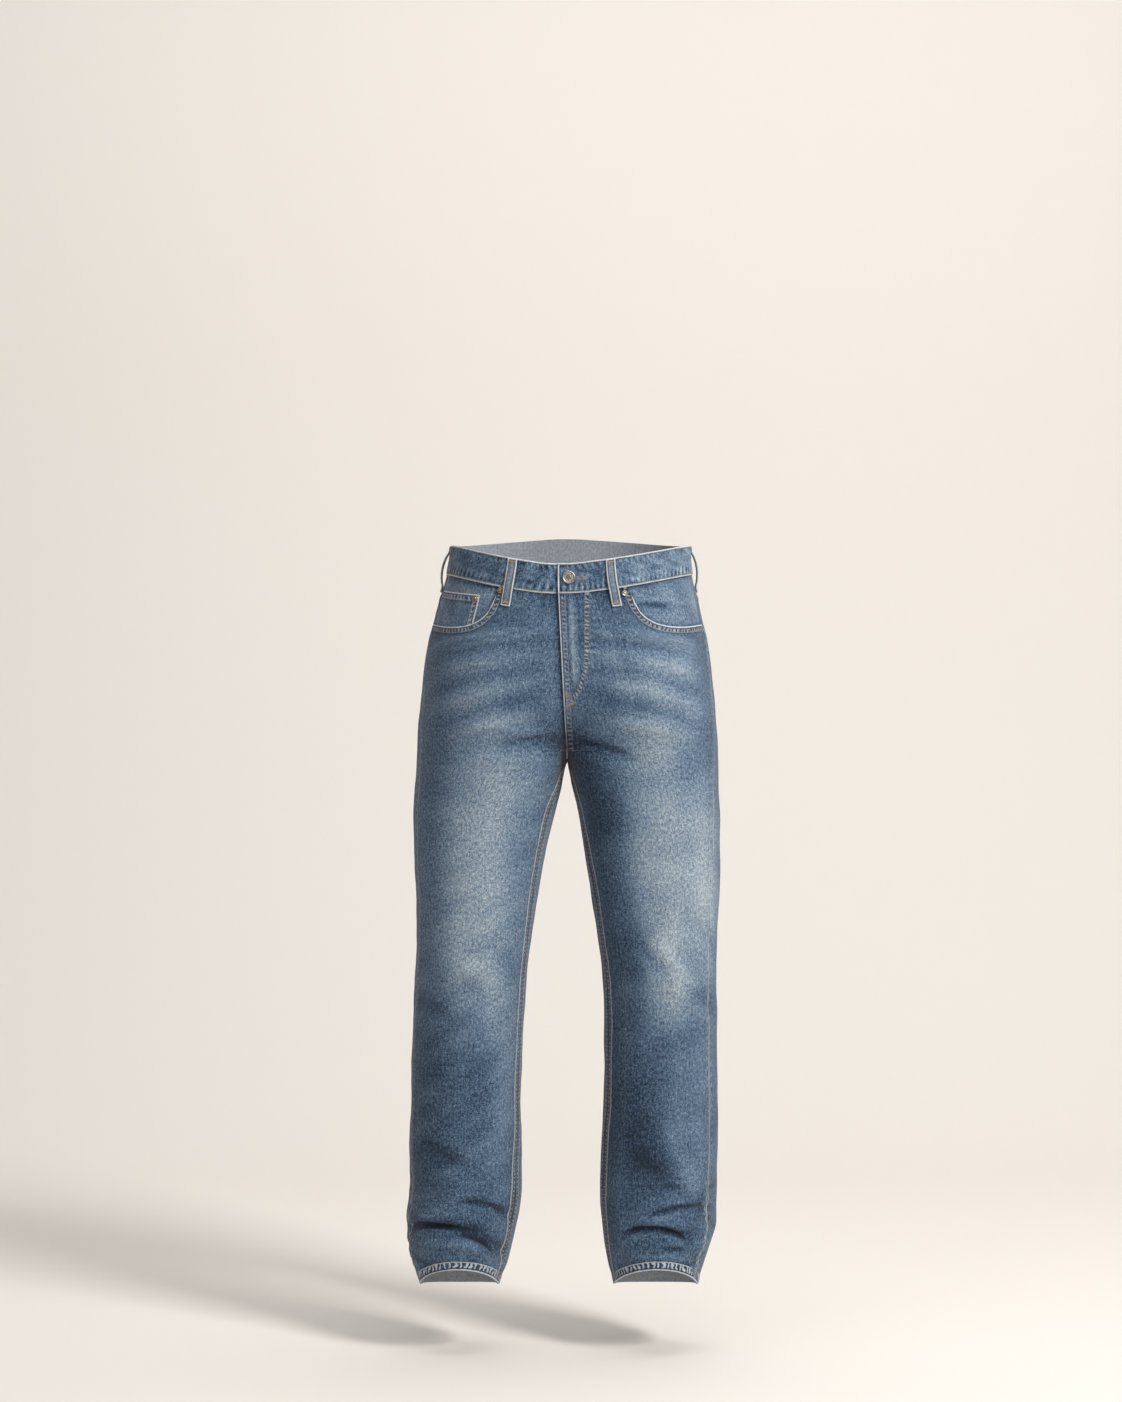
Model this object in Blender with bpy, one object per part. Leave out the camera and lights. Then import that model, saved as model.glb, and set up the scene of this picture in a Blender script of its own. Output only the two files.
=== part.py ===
# Straight leg jeans, worn and hollow, as separate cut pieces of denim.
# Metres, +Z up, +X to the wearer's left, the front faces -Y.
# The origin is the middle of the waist opening, level with its top edge at the sides.
# Lengths in the tables are millimetres and angles are degrees.

import math

import bmesh
import bpy
import numpy as np
from mathutils import Matrix, Vector

MM = 0.001
RIGHT, LEFT = -1, 1  # the wearer's right is at -X
ROUND = 2 * math.pi - 1e-6  # the angle of the centre back

# Cloth and sewing
CLOTH = 1.4  # thickness of one layer of denim
GAP = 0.3  # between two pieces where they are sewn
TURNED = 0.9  # how far a turned and stitched edge stands out
HEM = 15.0  # depth of the turned hem
FELL = 9.0  # width of the felled seam inside the leg

# Heights
CROTCH = -292.0
FORK = 3.2  # how squarely the crotch seam turns under
PRESSED = 0.5  # how flat the legs' inner sides are where they meet
PRESSED_REACH = 150.0  # and how far down that reaches
FRONT_DIP = -29.5  # top edge at the centre front, against the sides
BACK_RISE = 15.0  # top edge at the centre back
BAND = 42.0  # height of the waistband
LEVEL = -165.0  # below this height the rows of the panels are level
HEM_LEVEL = -1055.0  # hem at the sides of the leg
HEM_LIFT = 34.0  # how far the front of the hem is raised
HEM_DROP = 11.0  # how far the back of the hem hangs lower
HEM_REACH = 95.0  # over this height the rows follow the hem

# Waistband
BAND_OUT = 1.2  # its outer face, out from the panels
BAND_THICK = 3.0
UNDERLAP = 24.0  # length of the end that lies under the buttoned end
UNDERLAP_TURN = 14.0  # length over which that end steps inwards
FLY_SHIFT = -13.0  # place of the fly's edge at the waist, from the middle

# Belt loops
LOOP_WIDTH = 13.5
LOOP_THICK = 2.2
LOOP_LENGTH = 66.0
LOOP_END = 9.0  # stretch that is stitched down at each end
LOOP_GAP = 3.4  # free space behind a loop with no belt in it
SIDE_LOOP_GAP = 7.0  # the loops at the sides stand out further
LOOP_HEIGHTS = (-25.0, -91.0)  # top and foot of the front loops

# The middle line of a front loop, as its x at those two heights.
FRONT_LOOP_COLUMNS = ("top_x", "foot_x")
FRONT_LOOPS = {RIGHT: (-75.8, -86.8), LEFT: (60.1, 70.2)}

# Pockets
MOUTH_START = 0.652  # share of the front's width where the pocket's mouth leaves the waistband
FACING_START = 0.60  # where the facing behind it begins
UNDER_FRONT = 0.5  # the space between the front and the facing
MOUTH_DEPTH = 70.0  # from the waistband down to the mouth at the side seam
MOUTH_ROUND = 3.15
MOUTH_BAND = 9.0  # width of the mouth's turned edge
MOUTH_STEPS = (0, 0.02, 0.07, 0.195, 0.38, 0.58, 0.8, 1)  # the mouth's points, as shares of its length
COIN_STEP = 3  # the step where the coin pocket's inner edge is
COIN_TOP = -64.0  # top of the coin pocket at the side seam
COIN_TOP_FALL = -9.0  # and how much lower it is at its inner end
COIN_HEM = 11.0
YOKE_SIDE = 38.0  # height of the yoke at the side seam
YOKE_BACK = 74.0  # and at the centre back
PATCH_WIDTH = 146.0
PATCH_FOOT_WIDTH = 120.0
PATCH_SIDE = 138.0  # height of the back pocket's straight side
PATCH_POINT = 22.0  # and how much lower its point is
PATCH_FROM_BACK = 27.0  # from the centre back seam to the pocket's top corner
PATCH_BELOW_YOKE = 20.0
PATCH_FIRST = 4  # the back's first column on the back pocket
PATCH_COLUMNS = 8

# The back's rows that the back pocket follows: how far down it they are, as a share of its side,
# and their height at the centre back seam.
POCKET_ROW_COLUMNS = ("down", "centre")
POCKET_ROWS = ((0, -119), (0.1, -136), (0.115, -139), (0.4, -183), (0.7, -226), (1, -258))

# Metal
BUTTON_RADIUS = 9.2
BUTTON_HEIGHT = 4.2
BUTTON_PLACE = (2.2, -49.5)  # x and z
RIVET_RADIUS = 4.3
RIVET_HEIGHT = 1.5

# The worn garment's level sections. out and in are measured from the middle line to the leg's
# outer and inner side; front, back and middle give its depth, and peak is where between its
# inner and outer side it is deepest.
SECTION_COLUMNS = ("z", "right_out", "right_in", "left_out", "left_in", "front", "back", "middle", "peak")
SECTIONS = np.array([
    (40, 160, 0, 171, 0, 105, 105, -4, 0.22),
    (0, 164, 0, 174.5, 0, 108, 110, -4, 0.22),
    (-43, 171.5, 0, 178.5, 0, 110, 115, -4, 0.24),
    (-77, 182, 0, 187, 0, 113, 122, -4, 0.27),
    (-106, 190, 0, 193, 0, 115, 128, -3, 0.31),
    (-134, 198, 0, 200, 0, 117, 134, -2, 0.35),
    (-163, 203, 0, 204.5, 0, 118, 138, -1, 0.39),
    (-220, 209, 0, 211, 0, 115, 139, 1, 0.45),
    (-265, 213.5, 0, 214.5, 0, 107, 129, 2, 0.49),
    (CROTCH, 214.5, 0, 215.5, 0, 101, 120, 3, 0.5),
    (-335, 216.5, 6, 217, 6, 96, 107, 3, 0.5),
    (-363, 218.5, 13, 218, 12, 94, 101, 2, 0.5),
    (-392, 219.5, 20, 219, 17, 92, 96, 1, 0.5),
    (-449, 218.5, 33, 219, 26.5, 87, 88, -1, 0.5),
    (-506, 215, 43, 217, 36, 83, 82, -3, 0.5),
    (-563, 214.5, 51, 214, 44, 81, 78, -4, 0.5),
    (-621, 217, 58.5, 213, 51, 79, 75, -4, 0.5),
    (-678, 220, 61.5, 214.5, 53, 76, 75, -2, 0.5),
    (-735, 222, 64, 214.5, 53, 74, 77, 2, 0.5),
    (-792, 223.5, 66, 216, 52, 73, 79, 5, 0.5),
    (-849, 226, 64.5, 216, 49, 73, 80, 7, 0.5),
    (-907, 225.5, 64, 214.5, 47, 75, 80, 6, 0.5),
    (-935, 227, 66, 213.5, 47.5, 77, 80, 5, 0.5),
    (-964, 230, 71, 213, 50, 79, 80, 3, 0.5),
    (-992, 229, 77, 206, 53, 81, 79, 1, 0.5),
    (-1021, 221.5, 84.5, 196, 58, 81, 78, 0, 0.5),
    (-1050, 210, 97, 187, 66, 79, 77, -1, 0.5),
    (-1090, 203, 103, 182, 70, 78, 76, -1, 0.5),
], dtype=float)

# Where the seams run round the leg: 0 is its inner side, 90 its front and 180 its outer side.
SEAM_COLUMNS = ("z", "right_side", "left_side", "right_inner", "left_inner")
SEAMS = np.array([
    (40, 169, 169, 0, 0),
    (-60, 169, 169, 0, 0),
    (-165, 166, 165, 0, 0),
    (CROTCH, 160, 159, 0, 0),
    (-304, 160, 158, 0, 0),
    (-325, 159, 156, 13, 9),
    (-392, 158, 152, 26, 18),
    (-506, 159, 148, 24, 22),
    (-650, 162, 147, 20, 23),
    (-800, 162, 146, 20, 22),
    (-907, 161, 146, 28, 20),
    (-1090, 158, 146, 24, 16),
], dtype=float)

# The main folds, as soft troughs (depth below 0) and ridges. angle is the place round the leg,
# length and width are half sizes, tilt climbs towards the outer side and arch lifts the middle.
FOLD_COLUMNS = ("side", "z", "angle", "length", "width", "tilt", "arch", "depth")
FOLDS = np.array([
    # the wearer's right ankle, breaking on the shoe
    (RIGHT, -966, 128, 62, 8.5, -2, 4, -7.5),
    (RIGHT, -981, 58, 44, 9, 30, 0, -6),
    (RIGHT, -986, 105, 46, 11, 0, 6, 5.5),
    (RIGHT, -943, 62, 42, 8, 8, 2, -4.5),
    (RIGHT, -950, 122, 55, 9, -6, 0, 3),
    (RIGHT, -912, 140, 34, 10, -14, 0, -2.6),
    (RIGHT, -966, 250, 70, 11, 8, 0, -5.5),
    (RIGHT, -990, 285, 60, 10, -6, 0, 4),
    (RIGHT, -935, 290, 55, 12, -10, 0, -3.5),
    (RIGHT, -900, 235, 50, 13, 12, 0, -3),
    # the wearer's left ankle
    (LEFT, -946, 122, 40, 9, 6, 0, -5),
    (LEFT, -972, 92, 46, 10, -3, 4, -6.5),
    (LEFT, -959, 98, 50, 8, 0, 2, 3.5),
    (LEFT, -1000, 118, 26, 9, -10, 0, -3),
    (LEFT, -918, 112, 38, 9, -12, 0, -3),
    (LEFT, -988, 150, 26, 7, 20, 0, 2.6),
    (LEFT, -970, 255, 66, 11, -8, 0, -5.5),
    (LEFT, -992, 290, 55, 10, 6, 0, 3.5),
    (LEFT, -934, 275, 60, 12, 10, 0, -3.5),
    (LEFT, -895, 300, 48, 13, -12, 0, -2.8),
    # knees
    (LEFT, -612, 100, 46, 20, -26, 0, 3.5),
    (LEFT, -640, 128, 40, 13, -30, 0, -3),
    (LEFT, -600, 62, 38, 15, 20, 0, -2.5),
    (RIGHT, -600, 96, 46, 26, 12, 0, 2.6),
    (RIGHT, -655, 132, 44, 15, 24, 0, -2.6),
    (RIGHT, -640, 270, 60, 14, 10, 0, -4),
    (RIGHT, -600, 262, 55, 14, -12, 0, -3.4),
    (LEFT, -645, 268, 60, 14, -10, 0, -4),
    (LEFT, -606, 280, 55, 14, 12, 0, -3.4),
    # under the seat and from the crotch
    (RIGHT, -286, 62, 46, 8, -8, 0, -5),
    (LEFT, -292, 58, 44, 9, -16, 0, -4),
    (RIGHT, -262, 75, 60, 8, 6, 0, 2.2),
    (LEFT, -258, 78, 60, 9, 8, 0, 2.2),
    (RIGHT, -306, 292, 70, 11, 12, 0, -5),
    (LEFT, -310, 290, 70, 11, 14, 0, -5),
    (RIGHT, -345, 285, 66, 13, 16, 0, -3.4),
    (LEFT, -350, 282, 66, 13, 18, 0, -3.4),
], dtype=float)

# Heights of the panels' rows below the crotch: finer at the knee's and the ankle's folds
LEG_ROWS = (
    -303, -318, -338, -363, -395, -435, -475, -515, -553, -582, -606, -630, -656,
    -690, -730, -770, -810, -848, -880, -902, -919, -933, -946, -957, -968, -979, -990, -1002, -1016,
)

# Colours, as linear red, green and blue
DENIM = (0.105, 0.165, 0.262)
DENIM_WORN = (0.155, 0.225, 0.325)
STEEL = (0.50, 0.47, 0.42)
COPPER = (0.48, 0.36, 0.22)


def smooth_table(table, columns, name, z):
    """A column of a table at the heights z: a smooth curve through its rows that never overshoots."""
    order = np.argsort(table[:, 0])
    knots, values = table[order, 0], table[order, columns.index(name)]
    rise = np.diff(values) / np.diff(knots)
    before, after = rise[:-1], rise[1:]
    same = before * after > 0
    mean = 2 * before * after / np.where(same, before + after, 1)
    slope = np.concatenate([rise[:1], np.where(same, mean, 0), rise[-1:]])
    z = np.clip(z, knots[0], knots[-1])
    i = np.clip(np.searchsorted(knots, z) - 1, 0, len(knots) - 2)
    step = knots[i + 1] - knots[i]
    t = (z - knots[i]) / step
    start, end = values[i], values[i + 1]
    bend = (1 + 2 * t) * (1 - t) ** 2 * start + t * t * (3 - 2 * t) * end
    lean = t * (1 - t) ** 2 * slope[i] - t * t * (1 - t) * slope[i + 1]
    return bend + lean * step


def section(name, z):
    return smooth_table(SECTIONS, SECTION_COLUMNS, name, z)


def seam(name, z):
    return np.radians(smooth_table(SEAMS, SEAM_COLUMNS, name, z))


def side_name(side):
    return "right" if side == RIGHT else "left"


def joined(z):
    """How deep a half's section is at the middle line: 0 at the crotch, 1 at the waist."""
    rise = np.clip((z - CROTCH) / -CROTCH, 0, 1)
    return np.sin(math.pi / 2 * np.sqrt(1 - (1 - rise) ** FORK))


def fold_offset(side, angle, z, reach):
    """How far the folds move the cloth out, in mm."""
    total = np.zeros(np.broadcast(angle, z).shape)
    for row in FOLDS[FOLDS[:, 0] == side]:
        _, height, place, length, width, tilt, arch, depth = row
        turn = (angle - math.radians(place) + math.pi) % (2 * math.pi) - math.pi
        along = turn * reach
        across = z - height - math.tan(math.radians(tilt)) * along + arch * (along / length) ** 2
        total += depth * np.exp(-((across / width) ** 2) - (along / length) ** 4)
    return total


def middle_line(side, angle, z):
    """Where a half ends towards the middle: the fly's edge in front, the centre back behind."""
    shift = FLY_SHIFT * np.clip((z - CROTCH) / (-60 - CROTCH), 0, 1) ** 0.8
    return section(side_name(side) + "_in", z) + np.where(np.sin(angle) >= 0, side * shift, 0)


def surface(side, angle, z):
    """Points of the cloth's outer face, in mm. A leg's section is an oval. Above the crotch the oval's
    inner part opens towards the middle line, where the other half's begins."""
    angle, z = np.broadcast_arrays(np.asarray(angle, float), np.asarray(z, float))
    forward = np.where(np.sin(angle) >= 0, 1, -1)
    turn = np.arccos(np.clip(np.cos(angle), -1, 1))
    inner = turn < math.pi / 2
    open_share = np.where(inner, joined(z), 0)
    blend = open_share**2
    start, end = middle_line(side, angle, z), section(side_name(side) + "_out", z)
    peak = start + section("peak", z) * (end - start)
    along = (1 - blend) * np.cos(turn) + blend * (1 - turn / (math.pi / 2))
    pressed = np.where(inner, 1 - PRESSED * np.clip(1 - (CROTCH - z) / PRESSED_REACH, 0, 1) ** 2, 1)
    bulge = (1 - blend) * np.sin(turn) ** pressed + blend * np.sin(turn) ** 2
    depth = np.where(forward > 0, section("front", z), section("back", z))
    out = fold_offset(side, angle, z, (end - start) * 0.25 + depth * 0.5)
    x = peak - np.where(inner, peak - start, end - peak) * along - out * np.cos(turn) * (1 - open_share)
    share = open_share + (1 - open_share) * bulge
    drawn = np.sin(turn) * (1 - open_share) + open_share
    y = section("middle", z) - forward * (depth * share + out * drawn)
    return np.stack([side * x, y, z], axis=-1)


def outward(side, angle, z):
    """The unit normals of the surface, from its slopes."""
    angle, z = np.broadcast_arrays(np.asarray(angle, float), np.asarray(z, float))
    step_angle, step_z = 0.01, 0.8
    above = z > CROTCH
    low = np.where(above & (angle - step_angle < 0), 0, angle - step_angle)
    high = np.where(above & (angle + step_angle > ROUND), ROUND, angle + step_angle)
    across = surface(side, high, z) - surface(side, low, z)
    down = surface(side, angle, z - step_z) - surface(side, angle, z + step_z)
    normal = np.cross(down, across) * side
    return normal / np.maximum(np.linalg.norm(normal, axis=-1, keepdims=True), 1e-9)


def from_middle(angle):
    """How far round the waist an angle is, as a share: 0 at the middle, 1 at the side."""
    peak = SECTIONS[1, SECTION_COLUMNS.index("peak")]
    return peak - np.cos(angle) * np.where(np.cos(angle) > 0, peak, 1 - peak)


def top_edge(angle):
    """Height of the waistband's top edge round the body."""
    away = 1 - from_middle(angle) ** 1.5
    return np.where(np.sin(angle) >= 0, FRONT_DIP, BACK_RISE) * away


def hem_shift(angle):
    """How far the hem is lifted in front and hangs lower behind."""
    forward = np.sin(angle)
    lift, drop = HEM_LIFT * np.abs(forward) ** 1.4, HEM_DROP * np.abs(forward) ** 1.2
    return np.where(forward > 0, lift, -drop)


def angle_at_x(side, x, z):
    """The angle in front where the surface is at x."""
    angles = np.linspace(0, math.pi, 200)
    return float(np.interp(x * side, surface(side, angles, z)[:, 0] * side, angles))


def even_angles(side, start, end, count, z):
    """Angles from start to end, the same distance apart round the surface."""
    angles = np.linspace(start, end, 300)
    step = np.linalg.norm(np.diff(surface(side, angles, z), axis=0), axis=1)
    run = np.concatenate([[0], np.cumsum(step)])
    return np.interp(np.linspace(0, run[-1], count), run, angles)


def angle_from_back(side, distance, z):
    """The angle at this distance round the seat from the centre back seam."""
    angles = np.linspace(ROUND, math.pi * 0.9, 200)
    step = np.linalg.norm(np.diff(surface(side, angles, z), axis=0), axis=1)
    run = np.concatenate([[0], np.cumsum(step)])
    return float(np.interp(distance, run, angles))


def material(name, colour, roughness, metallic=0.0):
    made = bpy.data.materials.new(name)
    made.use_nodes = True
    shader = made.node_tree.nodes["Principled BSDF"]
    shader.inputs["Base Color"].default_value = (*colour, 1)
    shader.inputs["Roughness"].default_value = roughness
    shader.inputs["Metallic"].default_value = metallic
    return made


def add_object(name, points, faces, look, parent):
    """A closed mesh with its faces turned outwards, from points in mm."""
    mesh = bpy.data.meshes.new(name)
    mesh.from_pydata((np.asarray(points) * MM).tolist(), [], faces)
    work = bmesh.new()
    work.from_mesh(mesh)
    if work.calc_volume(signed=True) < 0:
        bmesh.ops.reverse_faces(work, faces=work.faces)
    work.to_mesh(mesh)
    work.free()
    mesh.materials.append(look)
    mesh.shade_smooth()
    mesh.set_sharp_from_angle(angle=math.radians(40))
    made = bpy.data.objects.new(name, mesh)
    bpy.context.scene.collection.objects.link(made)
    made.parent = parent
    return made


def wall(name, outer, inner, look, parent):
    """A cloth wall between two grids of points, closed round its four edges."""
    rows, columns = outer.shape[:2]
    points = np.concatenate([outer.reshape(-1, 3), inner.reshape(-1, 3)])
    index = np.arange(rows * columns).reshape(rows, columns)
    back = index + rows * columns
    faces = []
    for i in range(rows - 1):
        for j in range(columns - 1):
            faces.append((index[i, j], index[i + 1, j], index[i + 1, j + 1], index[i, j + 1]))
            faces.append((back[i, j], back[i, j + 1], back[i + 1, j + 1], back[i + 1, j]))
    edge = [*index[0, :], *index[1:, -1], *index[-1, -2::-1], *index[-2:0:-1, 0]]
    for a, b in zip(edge, edge[1:] + edge[:1]):
        faces.append((a, b, b + rows * columns, a + rows * columns))
    return add_object(name, points, [tuple(int(p) for p in face) for face in faces], look, parent)


def laid(name, side, angle, z, low, thick, look, parent):
    """A piece on the surface: low is how far its inner face is out from it, thick its thickness."""
    place, normal = surface(side, angle, z), outward(side, angle, z)
    low = np.broadcast_to(np.asarray(low, float), z.shape)[..., None]
    thick = np.broadcast_to(np.asarray(thick, float), z.shape)[..., None]
    outer, inner = place + normal * (low + thick), place + normal * low
    keep_side(side, outer, angle, z)
    keep_side(side, inner, angle, z)
    return wall(name, outer, inner, look, parent)


def keep_side(side, points, angle, z):
    """Keeps a half's points on its own side of the seams at the middle."""
    above = np.where(z > CROTCH, middle_line(side, angle, z), 0)
    points[..., 0] = side * np.maximum(points[..., 0] * side, above + 0.5 * GAP)


def crotch_rows(first, count):
    """Heights of rows that close in on the crotch, where the seam turns under."""
    turn = np.linspace(first, 0, count)
    return CROTCH - CROTCH * (1 - (1 - turn**2) ** (1 / FORK))


def edge_gap(side, z):
    """Half the sewing gap, as an angle."""
    width = (section(side_name(side) + "_out", z) - section(side_name(side) + "_in", z)) / 2
    return 0.5 * GAP / np.minimum(width, section("front", z))


def front_span(side, z):
    """The angles of a front's two edges."""
    name = side_name(side)
    start = np.where(z > CROTCH, 0, seam(name + "_inner", z) + edge_gap(side, z))
    return start, seam(name + "_side", z) - edge_gap(side, z)


def back_span(side, z):
    """The angles of a back's two edges."""
    name = side_name(side)
    end = np.where(z > CROTCH, ROUND, 2 * math.pi + seam(name + "_inner", z) - edge_gap(side, z))
    return seam(name + "_side", z) + edge_gap(side, z), end


def at_share(span, side, share, z):
    start, end = span(side, z)
    return start + (end - start) * share


def leg_rows(span, side, share):
    """Heights of a panel's rows below the crotch: level, then following the hem."""
    rows = []
    for level in LEG_ROWS:
        near_hem = np.clip(1 - (level - HEM_LEVEL) / HEM_REACH, 0, 1)
        rows.append(level + hem_shift(at_share(span, side, share, level)) * near_hem**1.5)
    hem_line = HEM_LEVEL + hem_shift(at_share(span, side, share, HEM_LEVEL))
    return rows + [hem_line + HEM, hem_line + HEM - 1.5, hem_line]


def turned_edges(side, angle, z, seam_angle):
    """Extra thickness of the felled inner seam and of the turned hem."""
    width = (section(side_name(side) + "_out", z) - section(side_name(side) + "_in", z)) / 2
    away = np.abs(angle - seam_angle) * width
    fell = np.clip((FELL + 3 - away) / 3, 0, 1) * np.clip((CROTCH + 4 - z) / 8, 0, 1)
    hem = (z < HEM_LEVEL + hem_shift(angle) + HEM - 1).astype(float)
    return TURNED * np.maximum(fell, hem)


def waist_seam(side, share):
    """Height of the front's top edge under the waistband."""
    return top_edge(at_share(front_span, side, share, -60.0)) - BAND - GAP


def mouth_height(side, share):
    """Height of the front pocket's mouth, a quarter of a rounded square."""
    along = np.clip((share - MOUTH_START) / (1 - MOUTH_START), 0, 1)
    drop = (1 - (1 - along) ** MOUTH_ROUND) ** (1 / MOUTH_ROUND)
    return waist_seam(side, share) - MOUTH_DEPTH * drop


def mouth_shares():
    return MOUTH_START + (1 - MOUTH_START) * np.array(MOUTH_STEPS)


def mouth_band(side, share):
    """How far below the mouth its turned edge ends, more where the mouth is steep."""
    step = 0.004
    run = 2 * step * 1.72 * section(side_name(side) + "_out", -90.0)
    steep = np.abs(mouth_height(side, share + step) - mouth_height(side, share - step)) / run
    return MOUTH_BAND * np.clip(np.sqrt(1 + steep**2), 1, 1.7)


def front_grid(side):
    """Angles and heights of a front's points, from the waistband and the pocket's mouth to the hem."""
    share = np.concatenate([[0, 0.05, 0.068, 0.17, 0.28, 0.39, 0.49, FACING_START], mouth_shares()])
    top, band = mouth_height(side, share), mouth_band(side, share)
    rows = [top, top - band, top - band - 1.5]
    first = rows[-1]
    rows += [first + (LEVEL - first) * part for part in (0.45, 1)]
    z = np.array([np.broadcast_to(row, share.shape) for row in
                  [*rows, *crotch_rows(0.82, 8), *leg_rows(front_span, side, share)]])
    return at_share(front_span, side, share, z), z


def build_front(side, look, parent):
    angle, z = front_grid(side)
    extra = turned_edges(side, angle, z, seam(side_name(side) + "_inner", z))
    extra[0:2, -len(MOUTH_STEPS):] = TURNED
    if side == LEFT:
        extra[:, 0:2] = np.where(z[:, 0:2] > CROTCH, TURNED, extra[:, 0:2])
    laid("front_" + side_name(side), side, angle, z, -CLOTH, CLOTH + extra, look, parent)


def facing_grid(side):
    """Angles and heights of the facing behind the mouth, on the front's own points where they overlap."""
    share = np.concatenate([[FACING_START], mouth_shares()[1:]])
    seen = np.maximum(share, mouth_shares()[1])
    top, mouth, band = waist_seam(side, share), mouth_height(side, seen), mouth_band(side, seen)
    hem = COIN_TOP + COIN_TOP_FALL * (1 - share) / (1 - mouth_shares()[COIN_STEP])
    room = mouth + 0.4
    coin = np.minimum(top + (room - top) * 0.35, np.maximum(hem, top + (room - top) * 0.2))
    edge = np.maximum(coin - COIN_HEM, coin + (room - coin) * 0.45)
    fold = np.maximum(edge - 1.5, coin + (room - coin) * 0.55)
    z = np.array([top, coin, edge, fold, room, mouth - band, mouth - band - 1.5])
    return at_share(front_span, side, share, z), z


def build_facing(side, look, parent):
    angle, z = facing_grid(side)
    laid("pocket_facing_" + side_name(side), side, angle, z, -2 * CLOTH - UNDER_FRONT, CLOTH, look, parent)


def build_coin_pocket(look, parent):
    """The small pocket on the right facing: the facing's points above the mouth, moved out."""
    angle, z = facing_grid(RIGHT)
    angle, z = angle[1:5, COIN_STEP:-1], z[1:5, COIN_STEP:-1]
    turned = np.array([[1], [1], [0], [0]]) * np.ones_like(z) * TURNED * 0.5
    low = -CLOTH - UNDER_FRONT + GAP
    laid("coin_pocket", RIGHT, angle, z, low, CLOTH - 0.4 + turned, look, parent)


def yoke_foot(angle):
    """Height of the seam under the yoke, a V that is deepest at the centre back."""
    deeper = (YOKE_BACK - YOKE_SIDE) * (1 - from_middle(angle))
    return top_edge(angle) - BAND - YOKE_SIDE - deeper


def patch_share(side, down, across):
    """Share of the back's width at the back pocket: across is -1 at its inner edge, 1 at its outer."""
    width = PATCH_WIDTH + (PATCH_FOOT_WIDTH - PATCH_WIDTH) * down
    distance = PATCH_FROM_BACK + PATCH_WIDTH / 2 + across * width / 2
    z = -115 - PATCH_SIDE * down
    start, end = back_span(side, z)
    return float((angle_from_back(side, distance, z) - start) / (end - start))


def back_columns(side, down):
    """Shares of the back's columns at a depth down the pocket, which has PATCH_COLUMNS of them."""
    inner, outer = patch_share(side, down, -1), patch_share(side, down, 1)
    return np.concatenate([
        np.linspace(0, outer, PATCH_FIRST + 1)[:-1], np.linspace(outer, inner, PATCH_COLUMNS),
        np.linspace(inner, 0.955, 3)[1:], [0.968, 1],
    ])


def yoke_line(side):
    """The seam under the yoke at the back's columns."""
    return yoke_foot(at_share(back_span, side, back_columns(side, 0), -95.0))


def back_grid(side):
    """Angles and heights of a back's points, with rows and columns along the back pocket's edges."""
    shares, rows = [back_columns(side, 0)], [yoke_line(side) - GAP]
    for down, centre in POCKET_ROWS:
        share = back_columns(side, down)
        inner, outer = share[PATCH_FIRST + PATCH_COLUMNS - 1], share[PATCH_FIRST]
        across = np.clip(np.abs(share - (inner + outer) / 2) / ((inner - outer) / 2), 0, 1)
        seam_foot = yoke_foot(at_share(back_span, side, share, -115.0 - PATCH_SIDE * down))
        z = seam_foot - PATCH_BELOW_YOKE - down * (PATCH_SIDE + PATCH_POINT * (1 - across))
        inwards = np.clip((share - inner) / (1 - inner), 0, 1)
        rows.append(z + (centre - z) * inwards)
        shares.append(share)
    foot = rows[-1]
    for height in crotch_rows(0.5, 5):
        part = (height - POCKET_ROWS[-1][1]) / (CROTCH - POCKET_ROWS[-1][1])
        rows.append(foot + (CROTCH - foot) * part)
        shares.append(shares[-1])
    plain = np.concatenate([np.linspace(0, 0.955, len(foot) - 2), [0.968, 1]])
    legs = leg_rows(back_span, side, plain)
    for number, row in enumerate(legs):
        ease = min(1.0, (number + 1) / 9)
        shares.append(shares[-1] + (plain - shares[-1]) * ease)
        rows.append(row)
    share, z = np.array(shares), np.array(rows)
    return at_share(back_span, side, share, z), z


def build_back(side, look, parent):
    angle, z = back_grid(side)
    extra = turned_edges(side, angle, z, 2 * math.pi + seam(side_name(side) + "_inner", z))
    laid("back_" + side_name(side), side, angle, z, -CLOTH, CLOTH + extra, look, parent)


def build_back_pocket(side, look, parent):
    """A five-cornered patch, from the back's own points moved out."""
    angle, z = back_grid(side)
    part = (slice(1, 1 + len(POCKET_ROWS)), slice(PATCH_FIRST, PATCH_FIRST + PATCH_COLUMNS))
    angle, z = angle[part], z[part]
    turned = np.zeros_like(z)
    turned[0:2] = TURNED
    laid("back_pocket_" + side_name(side), side, angle, z, GAP, CLOTH + turned, look, parent)


def build_yoke(side, look, parent):
    share, foot = back_columns(side, 0), yoke_line(side)
    top = top_edge(at_share(back_span, side, share, -60.0)) - BAND - GAP
    z = top + (foot - top) * np.array([[0], [0.5], [1]])
    angle = at_share(back_span, side, share, z)
    laid("yoke_" + side_name(side), side, angle, z, -CLOTH, CLOTH, look, parent)


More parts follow.
